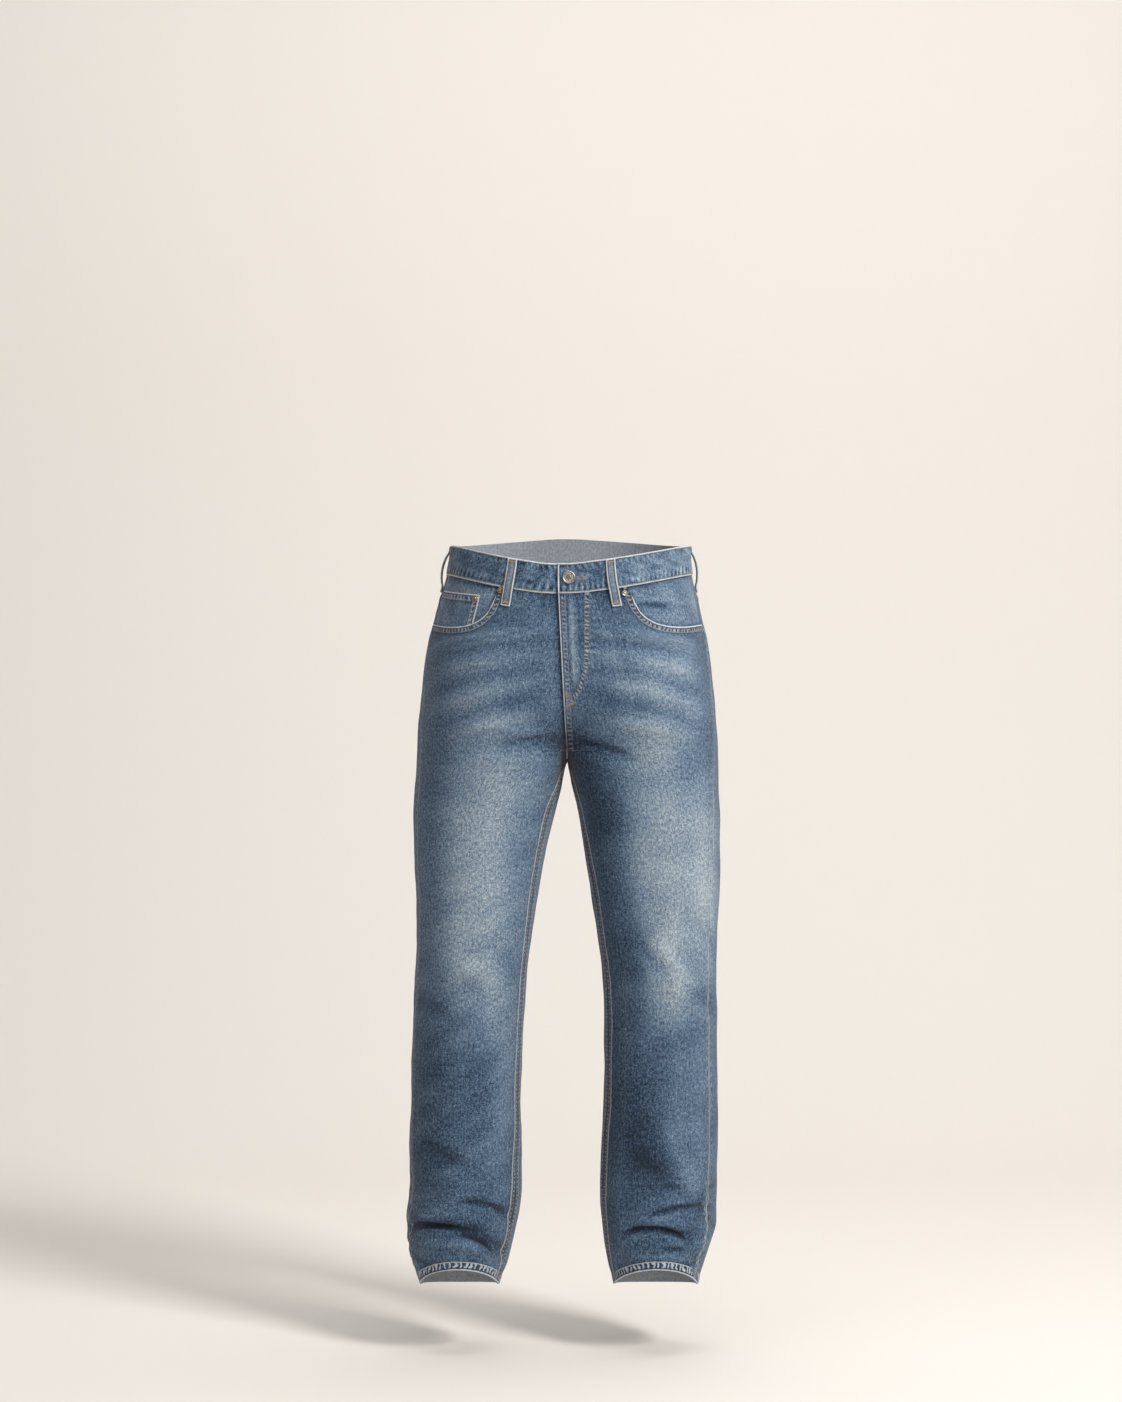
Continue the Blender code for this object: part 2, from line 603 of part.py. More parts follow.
def build_waistband(look, parent):
    """One band from the end under the button round the back to the buttoned end."""
    under = angle_at_x(LEFT, FLY_SHIFT + UNDERLAP, -57.0)
    step_out = angle_at_x(RIGHT, FLY_SHIFT - UNDERLAP_TURN, -57.0)
    stops = [(LEFT, angle) for angle in even_angles(LEFT, under, 0.0, 4, -20.0)]
    stops += [(RIGHT, 0.2), *((RIGHT, angle) for angle in even_angles(RIGHT, step_out, ROUND, 26, -20.0))]
    stops += [(LEFT, angle) for angle in even_angles(LEFT, ROUND, 0.0, 27, -20.0)[1:]]
    inset = BAND_THICK + GAP
    drops = [inset] * 5 + [0.0] * (len(stops) - 5)
    outer, inner = [], []
    for share in (0, 0.5, 1):
        for grid, extra in ((outer, BAND_OUT), (inner, BAND_OUT - BAND_THICK)):
            row = []
            for (side, angle), drop in zip(stops, drops):
                z = float(top_edge(angle)) - BAND * share
                place = surface(side, angle, z)
                row.append(place + outward(side, angle, z) * (extra - drop))
            grid.append(row)
    return wall("waistband", np.array(outer), np.array(inner), look, parent)


def build_loop(name, side, angle, foot, gap, look, parent):
    """A belt loop: a strip from the angle at its top to the one at its foot, stitched down at
    both ends. It stands out between them."""
    down = np.array([0, LOOP_END * 0.5, LOOP_END, 16, 23, 32, 41, 48, 55, LOOP_LENGTH])
    free = np.clip((down - LOOP_END) / (LOOP_LENGTH - 2 * LOOP_END), 0, 1)
    z = float(top_edge(angle)) - 1.0 - down
    rest = np.where(down < BAND + 2, BAND_OUT + GAP, GAP)
    low = np.maximum(rest, BAND_OUT + gap * np.sin(free * math.pi) ** 0.6)
    turn = angle + (foot - angle) * down / LOOP_LENGTH
    place, normal = surface(side, turn, z), outward(side, turn, z)
    tangent = np.cross(normal[4], place[0] - place[-1])
    tangent /= np.linalg.norm(tangent)
    shift = np.array([[-1], [0], [1]]) * LOOP_WIDTH / 2 * tangent
    flat = place[:, None, :] + normal[:, None, :] * low[:, None, None]
    inner = flat + shift[None, :, :]
    edge_lift = np.array([0.35 * LOOP_THICK, 0, 0.35 * LOOP_THICK])
    lift = (LOOP_THICK - edge_lift)[None, :, None]
    return wall(name, inner + normal[:, None, :] * lift, inner, look, parent)


def build_turned(name, profile, side, angle, z, low, look, parent):
    """A round metal piece turned from a profile of (radius, height), standing on the cloth."""
    place = surface(side, angle, z) + outward(side, angle, z) * low
    work = bmesh.new()
    ring = [work.verts.new((radius * MM, 0, height * MM)) for radius, height in profile]
    edges = [work.edges.new(pair) for pair in zip(ring, ring[1:])]
    bmesh.ops.spin(
        work, geom=ring + edges, cent=(0, 0, 0), axis=(0, 0, 1),
        angle=2 * math.pi, steps=24, use_merge=True,
    )
    bmesh.ops.remove_doubles(work, verts=work.verts, dist=1e-6)
    bmesh.ops.recalc_face_normals(work, faces=work.faces)
    mesh = bpy.data.meshes.new(name)
    work.to_mesh(mesh)
    work.free()
    mesh.materials.append(look)
    mesh.shade_smooth()
    mesh.set_sharp_from_angle(angle=math.radians(35))
    made = bpy.data.objects.new(name, mesh)
    bpy.context.scene.collection.objects.link(made)
    turn = Vector(outward(side, angle, z)).to_track_quat("Z", "Y").to_matrix().to_4x4()
    made.parent = parent
    made.matrix_basis = Matrix.Translation(Vector(place * MM)) @ turn
    return made


def build_button(look, parent):
    x, z = BUTTON_PLACE
    radius, height = BUTTON_RADIUS, BUTTON_HEIGHT
    profile = [
        (0, 0), (0.42 * radius, 0), (0.42 * radius, 0.4 * height), (0.94 * radius, 0.42 * height),
        (radius, 0.6 * height), (0.96 * radius, 0.85 * height), (0.84 * radius, height),
        (0.72 * radius, 0.84 * height), (0.4 * radius, 0.93 * height), (0, 0.96 * height),
    ]
    angle = angle_at_x(LEFT, x, z)
    return build_turned("button", profile, LEFT, angle, z, BAND_OUT + GAP, look, parent)


def build_rivet(name, side, share, below, low, look, parent):
    """A burr rivet at a share of the front's width, below the waistband."""
    angle = float(at_share(front_span, side, share, -75.0))
    z = float(top_edge(angle)) - BAND - below
    radius, height = RIVET_RADIUS, RIVET_HEIGHT
    profile = [
        (0, 0), (0.95 * radius, 0), (radius, 0.45 * height), (0.78 * radius, height),
        (0.5 * radius, 0.72 * height), (0.34 * radius, 1.15 * height), (0, 1.3 * height),
    ]
    return build_turned(name, profile, side, angle, z, low, look, parent)


def main():
    for item in list(bpy.data.objects):
        bpy.data.objects.remove(item)
    jeans = bpy.data.objects.new("jeans", None)
    bpy.context.scene.collection.objects.link(jeans)
    denim = material("denim", DENIM, 0.88)
    worn = material("worn_denim", DENIM_WORN, 0.9)
    steel = material("aged_steel", STEEL, 0.35, 0.9)
    copper = material("aged_copper", COPPER, 0.38, 0.9)

    for side in (RIGHT, LEFT):
        build_front(side, denim, jeans)
        build_back(side, denim, jeans)
        build_yoke(side, denim, jeans)
        build_facing(side, denim, jeans)
        build_back_pocket(side, denim, jeans)
    build_coin_pocket(denim, jeans)
    build_waistband(denim, jeans)

    at_side = math.radians(184)
    for side in (RIGHT, LEFT):
        angle, foot = (angle_at_x(side, *at) for at in zip(FRONT_LOOPS[side], LOOP_HEIGHTS))
        build_loop("belt_loop_front_" + side_name(side), side, angle, foot, LOOP_GAP, worn, jeans)
        build_loop("belt_loop_side_" + side_name(side), side, at_side, at_side, SIDE_LOOP_GAP, worn, jeans)
    build_loop("belt_loop_back", LEFT, ROUND, ROUND, LOOP_GAP, worn, jeans)

    build_button(steel, jeans)
    on_front = TURNED + GAP
    build_rivet("rivet_right", RIGHT, MOUTH_START - 0.0145, 5.2, on_front, copper, jeans)
    build_rivet("rivet_left", LEFT, MOUTH_START - 0.0246, 8.6, on_front, steel, jeans)
    on_coin_pocket = 2 * GAP + TURNED * 0.5 - 0.4 - UNDER_FRONT
    coin_share = mouth_shares()[COIN_STEP] + 0.018
    build_rivet("rivet_coin_pocket", RIGHT, coin_share, 22.4, on_coin_pocket, copper, jeans)


main()
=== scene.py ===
# Straight leg jeans in washed denim, worn and hollow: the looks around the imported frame.
# Shapes are worked out in millimetres and put into the meshes in metres.
# +Z is up, the front faces -Y and +X is the wearer's left. Angles run round each leg: 0 is its
# inner side or the garment's middle, 90 its front, 180 its outer side and 270 its back.

import math

import bpy
import numpy as np
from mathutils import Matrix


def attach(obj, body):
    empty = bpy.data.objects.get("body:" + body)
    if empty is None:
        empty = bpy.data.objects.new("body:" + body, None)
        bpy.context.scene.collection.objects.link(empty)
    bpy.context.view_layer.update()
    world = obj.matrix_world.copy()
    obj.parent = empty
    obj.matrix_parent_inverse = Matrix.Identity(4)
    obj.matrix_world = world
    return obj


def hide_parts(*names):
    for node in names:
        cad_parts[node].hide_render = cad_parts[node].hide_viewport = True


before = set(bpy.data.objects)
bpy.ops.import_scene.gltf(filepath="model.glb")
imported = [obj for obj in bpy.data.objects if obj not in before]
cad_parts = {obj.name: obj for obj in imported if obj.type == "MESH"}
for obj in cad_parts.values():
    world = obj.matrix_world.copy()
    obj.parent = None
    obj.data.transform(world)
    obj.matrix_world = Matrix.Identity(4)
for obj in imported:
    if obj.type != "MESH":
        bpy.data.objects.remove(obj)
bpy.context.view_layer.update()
print("frame: loaded")

mm = 0.001
right, left = -1, 1
fullTurn = 2 * math.pi - 1e-6
roundReach = 95.0  # mm that an angle of 1 covers, for the patterns that run round a leg
farAway = 99.0  # mm, where a line isn't near
noSeam = 60  # mm, the way to a seam that isn't there


# The garment's form, the same as in the solids

form = {
    "cloth": 1.4,  # thickness of one layer
    "gap": 0.3,  # between sewn pieces
    "turned": 0.9,  # how far a turned and stitched edge stands out
    "fell": 9.0,  # width of the felled inner seam
    "crotch": -292.0,
    "fork": 3.2,
    "pressed": 0.5,
    "pressedReach": 150.0,
    "frontDip": -29.5,
    "backRise": 15.0,
    "band": 42.0,
    "seamLevel": -60.0,  # where the waistband's seam and the yoke's top take their angles
    "hemLevel": -1055.0,
    "hemLift": 34.0,
    "hemDrop": 11.0,
    "hemReach": 95.0,
    "flyShift": -13.0,
}

sectionColumns = ("z", "rightOut", "rightIn", "leftOut", "leftIn", "front", "back", "middle", "peak")
sections = np.array([
    (40, 160, 0, 171, 0, 105, 105, -4, 0.22),
    (0, 164, 0, 174.5, 0, 108, 110, -4, 0.22),
    (-43, 171.5, 0, 178.5, 0, 110, 115, -4, 0.24),
    (-77, 182, 0, 187, 0, 113, 122, -4, 0.27),
    (-106, 190, 0, 193, 0, 115, 128, -3, 0.31),
    (-134, 198, 0, 200, 0, 117, 134, -2, 0.35),
    (-163, 203, 0, 204.5, 0, 118, 138, -1, 0.39),
    (-220, 209, 0, 211, 0, 115, 139, 1, 0.45),
    (-265, 213.5, 0, 214.5, 0, 107, 129, 2, 0.49),
    (-292, 214.5, 0, 215.5, 0, 101, 120, 3, 0.5),
    (-335, 216.5, 6, 217, 6, 96, 107, 3, 0.5),
    (-363, 218.5, 13, 218, 12, 94, 101, 2, 0.5),
    (-392, 219.5, 20, 219, 17, 92, 96, 1, 0.5),
    (-449, 218.5, 33, 219, 26.5, 87, 88, -1, 0.5),
    (-506, 215, 43, 217, 36, 83, 82, -3, 0.5),
    (-563, 214.5, 51, 214, 44, 81, 78, -4, 0.5),
    (-621, 217, 58.5, 213, 51, 79, 75, -4, 0.5),
    (-678, 220, 61.5, 214.5, 53, 76, 75, -2, 0.5),
    (-735, 222, 64, 214.5, 53, 74, 77, 2, 0.5),
    (-792, 223.5, 66, 216, 52, 73, 79, 5, 0.5),
    (-849, 226, 64.5, 216, 49, 73, 80, 7, 0.5),
    (-907, 225.5, 64, 214.5, 47, 75, 80, 6, 0.5),
    (-935, 227, 66, 213.5, 47.5, 77, 80, 5, 0.5),
    (-964, 230, 71, 213, 50, 79, 80, 3, 0.5),
    (-992, 229, 77, 206, 53, 81, 79, 1, 0.5),
    (-1021, 221.5, 84.5, 196, 58, 81, 78, 0, 0.5),
    (-1050, 210, 97, 187, 66, 79, 77, -1, 0.5),
    (-1090, 203, 103, 182, 70, 78, 76, -1, 0.5),
], dtype=float)

seamColumns = ("z", "rightSide", "leftSide", "rightInner", "leftInner")
seams = np.array([
    (40, 169, 169, 0, 0),
    (-60, 169, 169, 0, 0),
    (-165, 166, 165, 0, 0),
    (-292, 160, 159, 0, 0),
    (-304, 160, 158, 0, 0),
    (-325, 159, 156, 13, 9),
    (-392, 158, 152, 26, 18),
    (-506, 159, 148, 24, 22),
    (-650, 162, 147, 20, 23),
    (-800, 162, 146, 20, 22),
    (-907, 161, 146, 28, 20),
    (-1090, 158, 146, 24, 16),
], dtype=float)

# side, height, angle, half length, half width, tilt, arch, depth: troughs below 0, ridges above
mainFolds = np.array([
    (-1, -966, 128, 62, 8.5, -2, 4, -7.5),
    (-1, -981, 58, 44, 9, 30, 0, -6),
    (-1, -986, 105, 46, 11, 0, 6, 5.5),
    (-1, -943, 62, 42, 8, 8, 2, -4.5),
    (-1, -950, 122, 55, 9, -6, 0, 3),
    (-1, -912, 140, 34, 10, -14, 0, -2.6),
    (-1, -966, 250, 70, 11, 8, 0, -5.5),
    (-1, -990, 285, 60, 10, -6, 0, 4),
    (-1, -935, 290, 55, 12, -10, 0, -3.5),
    (-1, -900, 235, 50, 13, 12, 0, -3),
    (1, -946, 122, 40, 9, 6, 0, -5),
    (1, -972, 92, 46, 10, -3, 4, -6.5),
    (1, -959, 98, 50, 8, 0, 2, 3.5),
    (1, -1000, 118, 26, 9, -10, 0, -3),
    (1, -918, 112, 38, 9, -12, 0, -3),
    (1, -988, 150, 26, 7, 20, 0, 2.6),
    (1, -970, 255, 66, 11, -8, 0, -5.5),
    (1, -992, 290, 55, 10, 6, 0, 3.5),
    (1, -934, 275, 60, 12, 10, 0, -3.5),
    (1, -895, 300, 48, 13, -12, 0, -2.8),
    (1, -612, 100, 46, 20, -26, 0, 3.5),
    (1, -640, 128, 40, 13, -30, 0, -3),
    (1, -600, 62, 38, 15, 20, 0, -2.5),
    (-1, -600, 96, 46, 26, 12, 0, 2.6),
    (-1, -655, 132, 44, 15, 24, 0, -2.6),
    (-1, -640, 270, 60, 14, 10, 0, -4),
    (-1, -600, 262, 55, 14, -12, 0, -3.4),
    (1, -645, 268, 60, 14, -10, 0, -4),
    (1, -606, 280, 55, 14, 12, 0, -3.4),
    (-1, -286, 62, 46, 8, -8, 0, -5),
    (1, -292, 58, 44, 9, -16, 0, -4),
    (-1, -262, 75, 60, 8, 6, 0, 2.2),
    (1, -258, 78, 60, 9, 8, 0, 2.2),
    (-1, -306, 292, 70, 11, 12, 0, -5),
    (1, -310, 290, 70, 11, 14, 0, -5),
    (-1, -345, 285, 66, 13, 16, 0, -3.4),
    (1, -350, 282, 66, 13, 18, 0, -3.4),
], dtype=float)

# Smaller creases and whiskers that only the looks have, in the same columns
smallFolds = np.array([
    (-1, -862, 110, 42, 13, 26, 0, -2.4),
    (-1, -846, 70, 34, 14, -20, 0, 1.4),
    (-1, -884, 86, 40, 8, -12, 0, 1.2),
    (-1, -930, 68, 34, 5.2, 15, 6, -3.8),
    (-1, -940, 70, 34, 7, 15, 6, 2.0),
    (-1, -960, 118, 50, 3.8, 1, 6, -3.6),
    (-1, -970, 112, 42, 4.6, 2, 7, 3.0),
    (-1, -978, 72, 34, 3.8, 22, 10, -4.2),
    (-1, -988, 78, 32, 5.4, 22, 9, 3.0),
    (-1, -1008, 84, 44, 7, 4, 5, 1.2),
    (-1, -1006, 150, 30, 6, 16, 0, -2.2),
    (-1, -992, 168, 26, 5, -24, 0, -2.4),
    (-1, -944, 158, 26, 6, 22, 0, -1.8),
    (-1, -900, 160, 26, 8, -20, 0, -1.8),
    (1, -868, 108, 26, 22, -56, 0, 2.6),
    (1, -880, 84, 34, 14, -30, 0, -2.0),
    (1, -907, 103, 18, 4, -4, 0, -2.2),
    (1, -936, 109, 43, 4.8, 7, 5, -4.2),
    (1, -947, 106, 40, 6, 7, 6, 2.6),
    (1, -963, 80, 46, 4.6, 0, 14, -4.8),
    (1, -974, 82, 42, 5.6, 1, 13, 3.2),
    (1, -993, 105, 17, 3.6, -4, 0, -3.0),
    (1, -1004, 96, 36, 6, 4, 4, 1.4),
    (1, -986, 62, 22, 5, -18, 0, -1.6),
    (1, -1016, 132, 24, 6, 14, 0, -2.0),
    (1, -960, 152, 24, 6, -24, 0, -2.2),
    (1, -912, 150, 24, 7, 24, 0, -1.6),
    (-1, -880, 262, 60, 9, -14, 0, -2.0),
    (1, -872, 270, 60, 9, 12, 0, -2.0),
    (-1, -700, 255, 60, 11, 8, 0, -1.8),
    (1, -706, 280, 60, 11, -10, 0, -1.8),
    (-1, -560, 286, 55, 11, 14, 0, -1.6),
    (1, -556, 262, 55, 11, -14, 0, -1.6),
    (-1, -134, 124, 60, 6, -10, 3, 1.3),
    (-1, -152, 118, 66, 6, -13, 3, -1.3),
    (-1, -172, 116, 66, 7, -15, 4, 1.6),
    (-1, -192, 112, 70, 7, -16, 4, -1.5),
    (-1, -214, 108, 70, 8, -18, 4, 1.6),
    (-1, -236, 102, 66, 8, -20, 4, -1.5),
    (-1, -254, 88, 56, 8, -14, 3, 1.4),
    (-1, -277, 58, 40, 4.5, -8, 0, -2.6),
    (1, -132, 120, 60, 6, -9, 3, 1.3),
    (1, -150, 116, 66, 6, -12, 3, -1.3),
    (1, -169, 112, 66, 7, -14, 4, 1.6),
    (1, -190, 110, 70, 7, -15, 4, -1.5),
    (1, -211, 106, 70, 8, -17, 4, 1.6),
    (1, -233, 100, 66, 8, -19, 4, -1.5),
    (1, -256, 88, 56, 8, -14, 3, 1.4),
    (1, -286, 56, 40, 5.5, -16, 0, -2.6),
    (1, -560, 92, 24, 24, 50, 0, 2.0),
    (1, -598, 108, 26, 16, -48, 0, 2.2),
    (1, -590, 84, 22, 14, -46, 0, -2.6),
    (1, -640, 118, 34, 14, -44, 0, 1.8),
    (1, -548, 136, 26, 12, -40, 0, -1.4),
    (-1, -575, 62, 26, 20, 34, 0, -1.6),
    (-1, -600, 86, 34, 16, 26, 0, 1.6),
    (-1, -560, 118, 30, 26, -20, 0, 1.2),
    (-1, -640, 74, 34, 16, 30, 0, -1.2),
    (-1, -390, 255, 60, 14, 22, 0, 1.0),
    (1, -392, 275, 60, 14, -20, 0, 1.0),
], dtype=float)


# A column of a table at the heights z: a cubic between its rows whose slopes never overshoot
def smoothTable(table, columns, name, z):
    order = np.argsort(table[:, 0])
    knots, values = table[order, 0], table[order, columns.index(name)]
    rise = np.diff(values) / np.diff(knots)
    before, after = rise[:-1], rise[1:]
    same = before * after > 0
    mean = 2 * before * after / np.where(same, before + after, 1)
    slope = np.concatenate([rise[:1], np.where(same, mean, 0), rise[-1:]])
    z = np.clip(z, knots[0], knots[-1])
    i = np.clip(np.searchsorted(knots, z) - 1, 0, len(knots) - 2)
    step = knots[i + 1] - knots[i]
    t = (z - knots[i]) / step
    bend = (1 + 2 * t) * (1 - t) ** 2 * values[i] + t * t * (3 - 2 * t) * values[i + 1]
    return bend + (t * (1 - t) ** 2 * slope[i] - t * t * (1 - t) * slope[i + 1]) * step


def sideName(side):
    return "right" if side == right else "left"


def section(name, z):
    return smoothTable(sections, sectionColumns, name, z)


def seamAngle(side, name, z):
    return np.radians(smoothTable(seams, seamColumns, sideName(side) + name, z))


# The turn from a place in degrees to an angle, the short way round
def turnFrom(angle, place):
    return (angle - math.radians(place) + math.pi) % (2 * math.pi) - math.pi


# Each fold is a bell across its line, which is tilted and arched, and fades at its ends
def foldSum(folds, side, angle, z, reach):
    total = np.zeros(np.broadcast(angle, z).shape)
    for _, height, place, length, width, tilt, arch, depth in folds[folds[:, 0] == side]:
        along = turnFrom(angle, place) * reach
        across = z - height - math.tan(math.radians(tilt)) * along + arch * (along / length) ** 2
        total += depth * np.exp(-((across / width) ** 2) - (along / length) ** 4)
    return total


# 0 at the fork, where the legs part, and 1 at the top: how much of the inner side has opened
def joined(z):
    rise = np.clip((z - form["crotch"]) / -form["crotch"], 0, 1)
    return np.sin(math.pi / 2 * np.sqrt(1 - (1 - rise) ** form["fork"]))


# The inner end of a section: the leg's inner side, and above the fork the fly's line in front
def middleLine(side, angle, z):
    share = np.clip((z - form["crotch"]) / (form["seamLevel"] - form["crotch"]), 0, 1)
    shift = form["flyShift"] * share**0.8
    return section(sideName(side) + "In", z) + np.where(np.sin(angle) >= 0, side * shift, 0)


# The cloth's outer face: an oval for a leg, whose inner part opens to the middle above the crotch
def surface(side, angle, z):
    angle, z = np.broadcast_arrays(np.asarray(angle, float), np.asarray(z, float))
    forward = np.where(np.sin(angle) >= 0, 1, -1)
    turn = np.arccos(np.clip(np.cos(angle), -1, 1))
    inner = turn < math.pi / 2
    openShare = np.where(inner, joined(z), 0)
    blend = openShare**2
    start, end = middleLine(side, angle, z), section(sideName(side) + "Out", z)
    peak = start + section("peak", z) * (end - start)
    along = (1 - blend) * np.cos(turn) + blend * (1 - turn / (math.pi / 2))
    reachDown = np.clip(1 - (form["crotch"] - z) / form["pressedReach"], 0, 1)
    pressed = np.where(inner, 1 - form["pressed"] * reachDown**2, 1)
    bulge = (1 - blend) * np.sin(turn) ** pressed + blend * np.sin(turn) ** 2
    depth = np.where(forward > 0, section("front", z), section("back", z))
    out = foldSum(mainFolds, side, angle, z, (end - start) * 0.25 + depth * 0.5)
    x = peak - np.where(inner, peak - start, end - peak) * along - out * np.cos(turn) * (1 - openShare)
    share = openShare + (1 - openShare) * bulge
    y = section("middle", z) - forward * (depth * share + out * (np.sin(turn) * (1 - openShare) + openShare))
    return np.stack([side * x, y, z], axis=-1)


# Unit normals from the surface's slopes, and how many mm an angle of 1 covers
def outward(side, angle, z, withRate=False):
    angle, z = np.broadcast_arrays(np.asarray(angle, float), np.asarray(z, float))
    above = z > form["crotch"]
    low = np.where(above & (angle - 0.01 < 0), 0, angle - 0.01)
    high = np.where(above & (angle + 0.01 > fullTurn), fullTurn, angle + 0.01)
    across = surface(side, high, z) - surface(side, low, z)
    down = surface(side, angle, z - 0.8) - surface(side, angle, z + 0.8)
    normal = np.cross(down, across) * side
    normal = normal / np.maximum(np.linalg.norm(normal, axis=-1, keepdims=True), 1e-9)
    if withRate:
        return normal, np.linalg.norm(across, axis=-1) / np.maximum(high - low, 1e-9)
    return normal


# The share of the way from the garment's middle to its side
def fromMiddle(angle):
    peak = sections[1, sectionColumns.index("peak")]
    return peak - np.cos(angle) * np.where(np.cos(angle) > 0, peak, 1 - peak)


# The waistband's top edge: it dips in front and rises behind
def topEdge(angle):
    away = 1 - fromMiddle(angle) ** 1.5
    return np.where(np.sin(angle) >= 0, form["frontDip"], form["backRise"]) * away


# The hem's edge: it lifts in front and drops behind
def hemLine(angle):
    forward = np.sin(angle)
    lift = form["hemLift"] * np.abs(forward) ** 1.4
    drop = form["hemDrop"] * np.abs(forward) ** 1.2
    return form["hemLevel"] + np.where(forward > 0, lift, -drop)


# The front's angle at an x, and angles at even steps along the cloth
def angleAtX(side, x, z):
    angles = np.linspace(0, math.pi, 240)
    return float(np.interp(x * side, surface(side, angles, z)[:, 0] * side, angles))


def evenAngles(side, start, end, count, z):
    angles = np.linspace(start, end, 400)
    step = np.linalg.norm(np.diff(surface(side, angles, z), axis=0), axis=1)
    run = np.concatenate([[0], np.cumsum(step)])
    return np.interp(np.linspace(0, run[-1], count), run, angles)


seamReach = 80  # mm that an angle of 1 covers at the seams


# The angles that the fronts and the backs cover, less half the gap between them
def frontSpan(side, z):
    edge = 0.5 * form["gap"] / seamReach
    start = np.where(z > form["crotch"], 0, seamAngle(side, "Inner", z) + edge)
    return start, seamAngle(side, "Side", z) - edge


def backSpan(side, z):
    edge = 0.5 * form["gap"] / seamReach
    end = np.where(z > form["crotch"], fullTurn, 2 * math.pi + seamAngle(side, "Inner", z) - edge)
    return seamAngle(side, "Side", z) + edge, end


def atShare(span, side, share, z):
    start, end = span(side, z)
    return start + (end - start) * share


def waistSeam(side, share):
    return topEdge(atShare(frontSpan, side, share, form["seamLevel"])) - form["band"] - form["gap"]


mouth = {"start": 0.652, "facing": 0.60, "depth": 70.0, "round": 3.15, "band": 9.0, "coin": 0.195}
coinStart = mouth["start"] + mouth["coin"] * (1 - mouth["start"])


# The pocket mouth: it falls from the waistband as a rounded square does, steeply and then flat
def mouthHeight(side, share):
    along = np.clip((share - mouth["start"]) / (1 - mouth["start"]), 0, 1)
    drop = (1 - (1 - along) ** mouth["round"]) ** (1 / mouth["round"])
    return waistSeam(side, share) - mouth["depth"] * drop


yoke = {"side": 38.0, "back": 74.0, "level": -95.0}


# The yoke's seam: it falls evenly from the side to the centre back
def yokeFoot(angle):
    deeper = (yoke["back"] - yoke["side"]) * (1 - fromMiddle(angle))
    return topEdge(angle) - form["band"] - yoke["side"] - deeper


# 1 between low and high, with edges as soft as the softness says
def strip(distance, low, high, soft):
    up = np.clip((distance - low) / soft + 0.5, 0, 1)
    down = np.clip((high - distance) / soft + 0.5, 0, 1)
    return (up * up * (3 - 2 * up)) * (down * down * (3 - 2 * down))


def bell(distance, width):
    return np.exp(-((distance / width) ** 2))


# The grooves that rows of sewing press into the cloth: a narrow bell at each row's distance
def grooves(distance, *rows):
    return sum(bell(distance - row, 0.8) for row in rows)


# An uneven wave of about one period: a sine whose phase and height wander
def wander(along, period, seed):
    phase = 2 * math.pi * along / period + 1.9 * np.sin(along / (2.3 * period) + seed)
    phase = phase + 1.3 * np.sin(along / (5.1 * period) + 2.7 * seed)
    height = 0.65 + 0.35 * np.sin(along / (3.7 * period) + 1.7 * seed)
    return np.sin(phase) * height


# Soft unevenness: the mean of a few sines in seeded directions
def unevenness(u, v, size, seed):
    rng = np.random.default_rng(seed)
    total = np.zeros(np.broadcast(u, v).shape)
    for _ in range(7):
        heading, phase, stretch = rng.uniform(0, math.pi), rng.uniform(0, 6.28), rng.uniform(0.6, 1.7)
        along = u * math.cos(heading) + v * math.sin(heading)
        total += np.sin(along * 2 * math.pi / (size * stretch) + phase)
    return total / 2.6


# The shortest way from each point to a line of points, and how far along the line it ends
def wayTo(points, line):
    flat = points.reshape(-1, 3)
    starts, steps = line[:-1], np.diff(line, axis=0)
    lengths = np.linalg.norm(steps, axis=1)
    t = np.einsum("nmk,mk->nm", flat[:, None, :] - starts[None], steps) / lengths**2
    t = np.clip(t, 0, 1)
    away = np.linalg.norm(flat[:, None, :] - starts[None] - t[..., None] * steps[None], axis=2)
    near = away.argmin(axis=1)
    rows = np.arange(len(flat))
    run = np.concatenate([[0], np.cumsum(lengths)])[near] + t[rows, near] * lengths[near]
    return away[rows, near].reshape(points.shape[:-1]), run.reshape(points.shape[:-1])


# The way to a line and along it, for the rows of points that reach above a height
def wayAbove(points, z, height, line):
    distance, along = np.full(z.shape, farAway), np.zeros(z.shape)
    above = z > height
    rows = np.where(above.any(axis=-1) if z.ndim > 1 else above)[0]
    if len(rows):
        distance[rows], along[rows] = wayTo(points[rows], line)
    return distance, along


# How far round a leg's hem an angle is, in mm
hemTurns = np.linspace(-0.2, 2 * math.pi + 0.5, 700)
hemRuns = {}
for side in (right, left):
    hemPoints = surface(side, hemTurns, form["hemLevel"] + 6)
    hemRuns[side] = np.concatenate([[0], np.cumsum(np.linalg.norm(np.diff(hemPoints, axis=0), axis=1))])


def hemRun(side, angle):
    return np.interp(angle, hemTurns, hemRuns[side])


# A seam's own coordinates on the cloth, for the look to draw its lines from: the way from its edge
# and the run along it in mm, how wide it is, and the strengths of its worn edge, its roping and its
# second row of sewing
seamKeys = ("seamWay", "seamRun", "seamWide", "seamWhite", "seamRope", "seamRow")


def seamField(way, run, wide, white, rope, row):
    return np.stack(np.broadcast_arrays(way, run, wide, white, rope, row), axis=-1)


def nearestSeam(fields):
    stack = np.stack(np.broadcast_arrays(*fields))
    away = np.where(stack[..., 0] < 0, -stack[..., 0], stack[..., 0] * 0.5)
    return np.take_along_axis(stack, away.argmin(axis=0)[None, ..., None], axis=0)[0]


def mouthLine(side, count=90):
    along = np.linspace(0, 1, count) ** 2.2
    share = mouth["start"] + (1 - mouth["start"]) * along
    z = mouthHeight(side, share)
    return atShare(frontSpan, side, share, z), z


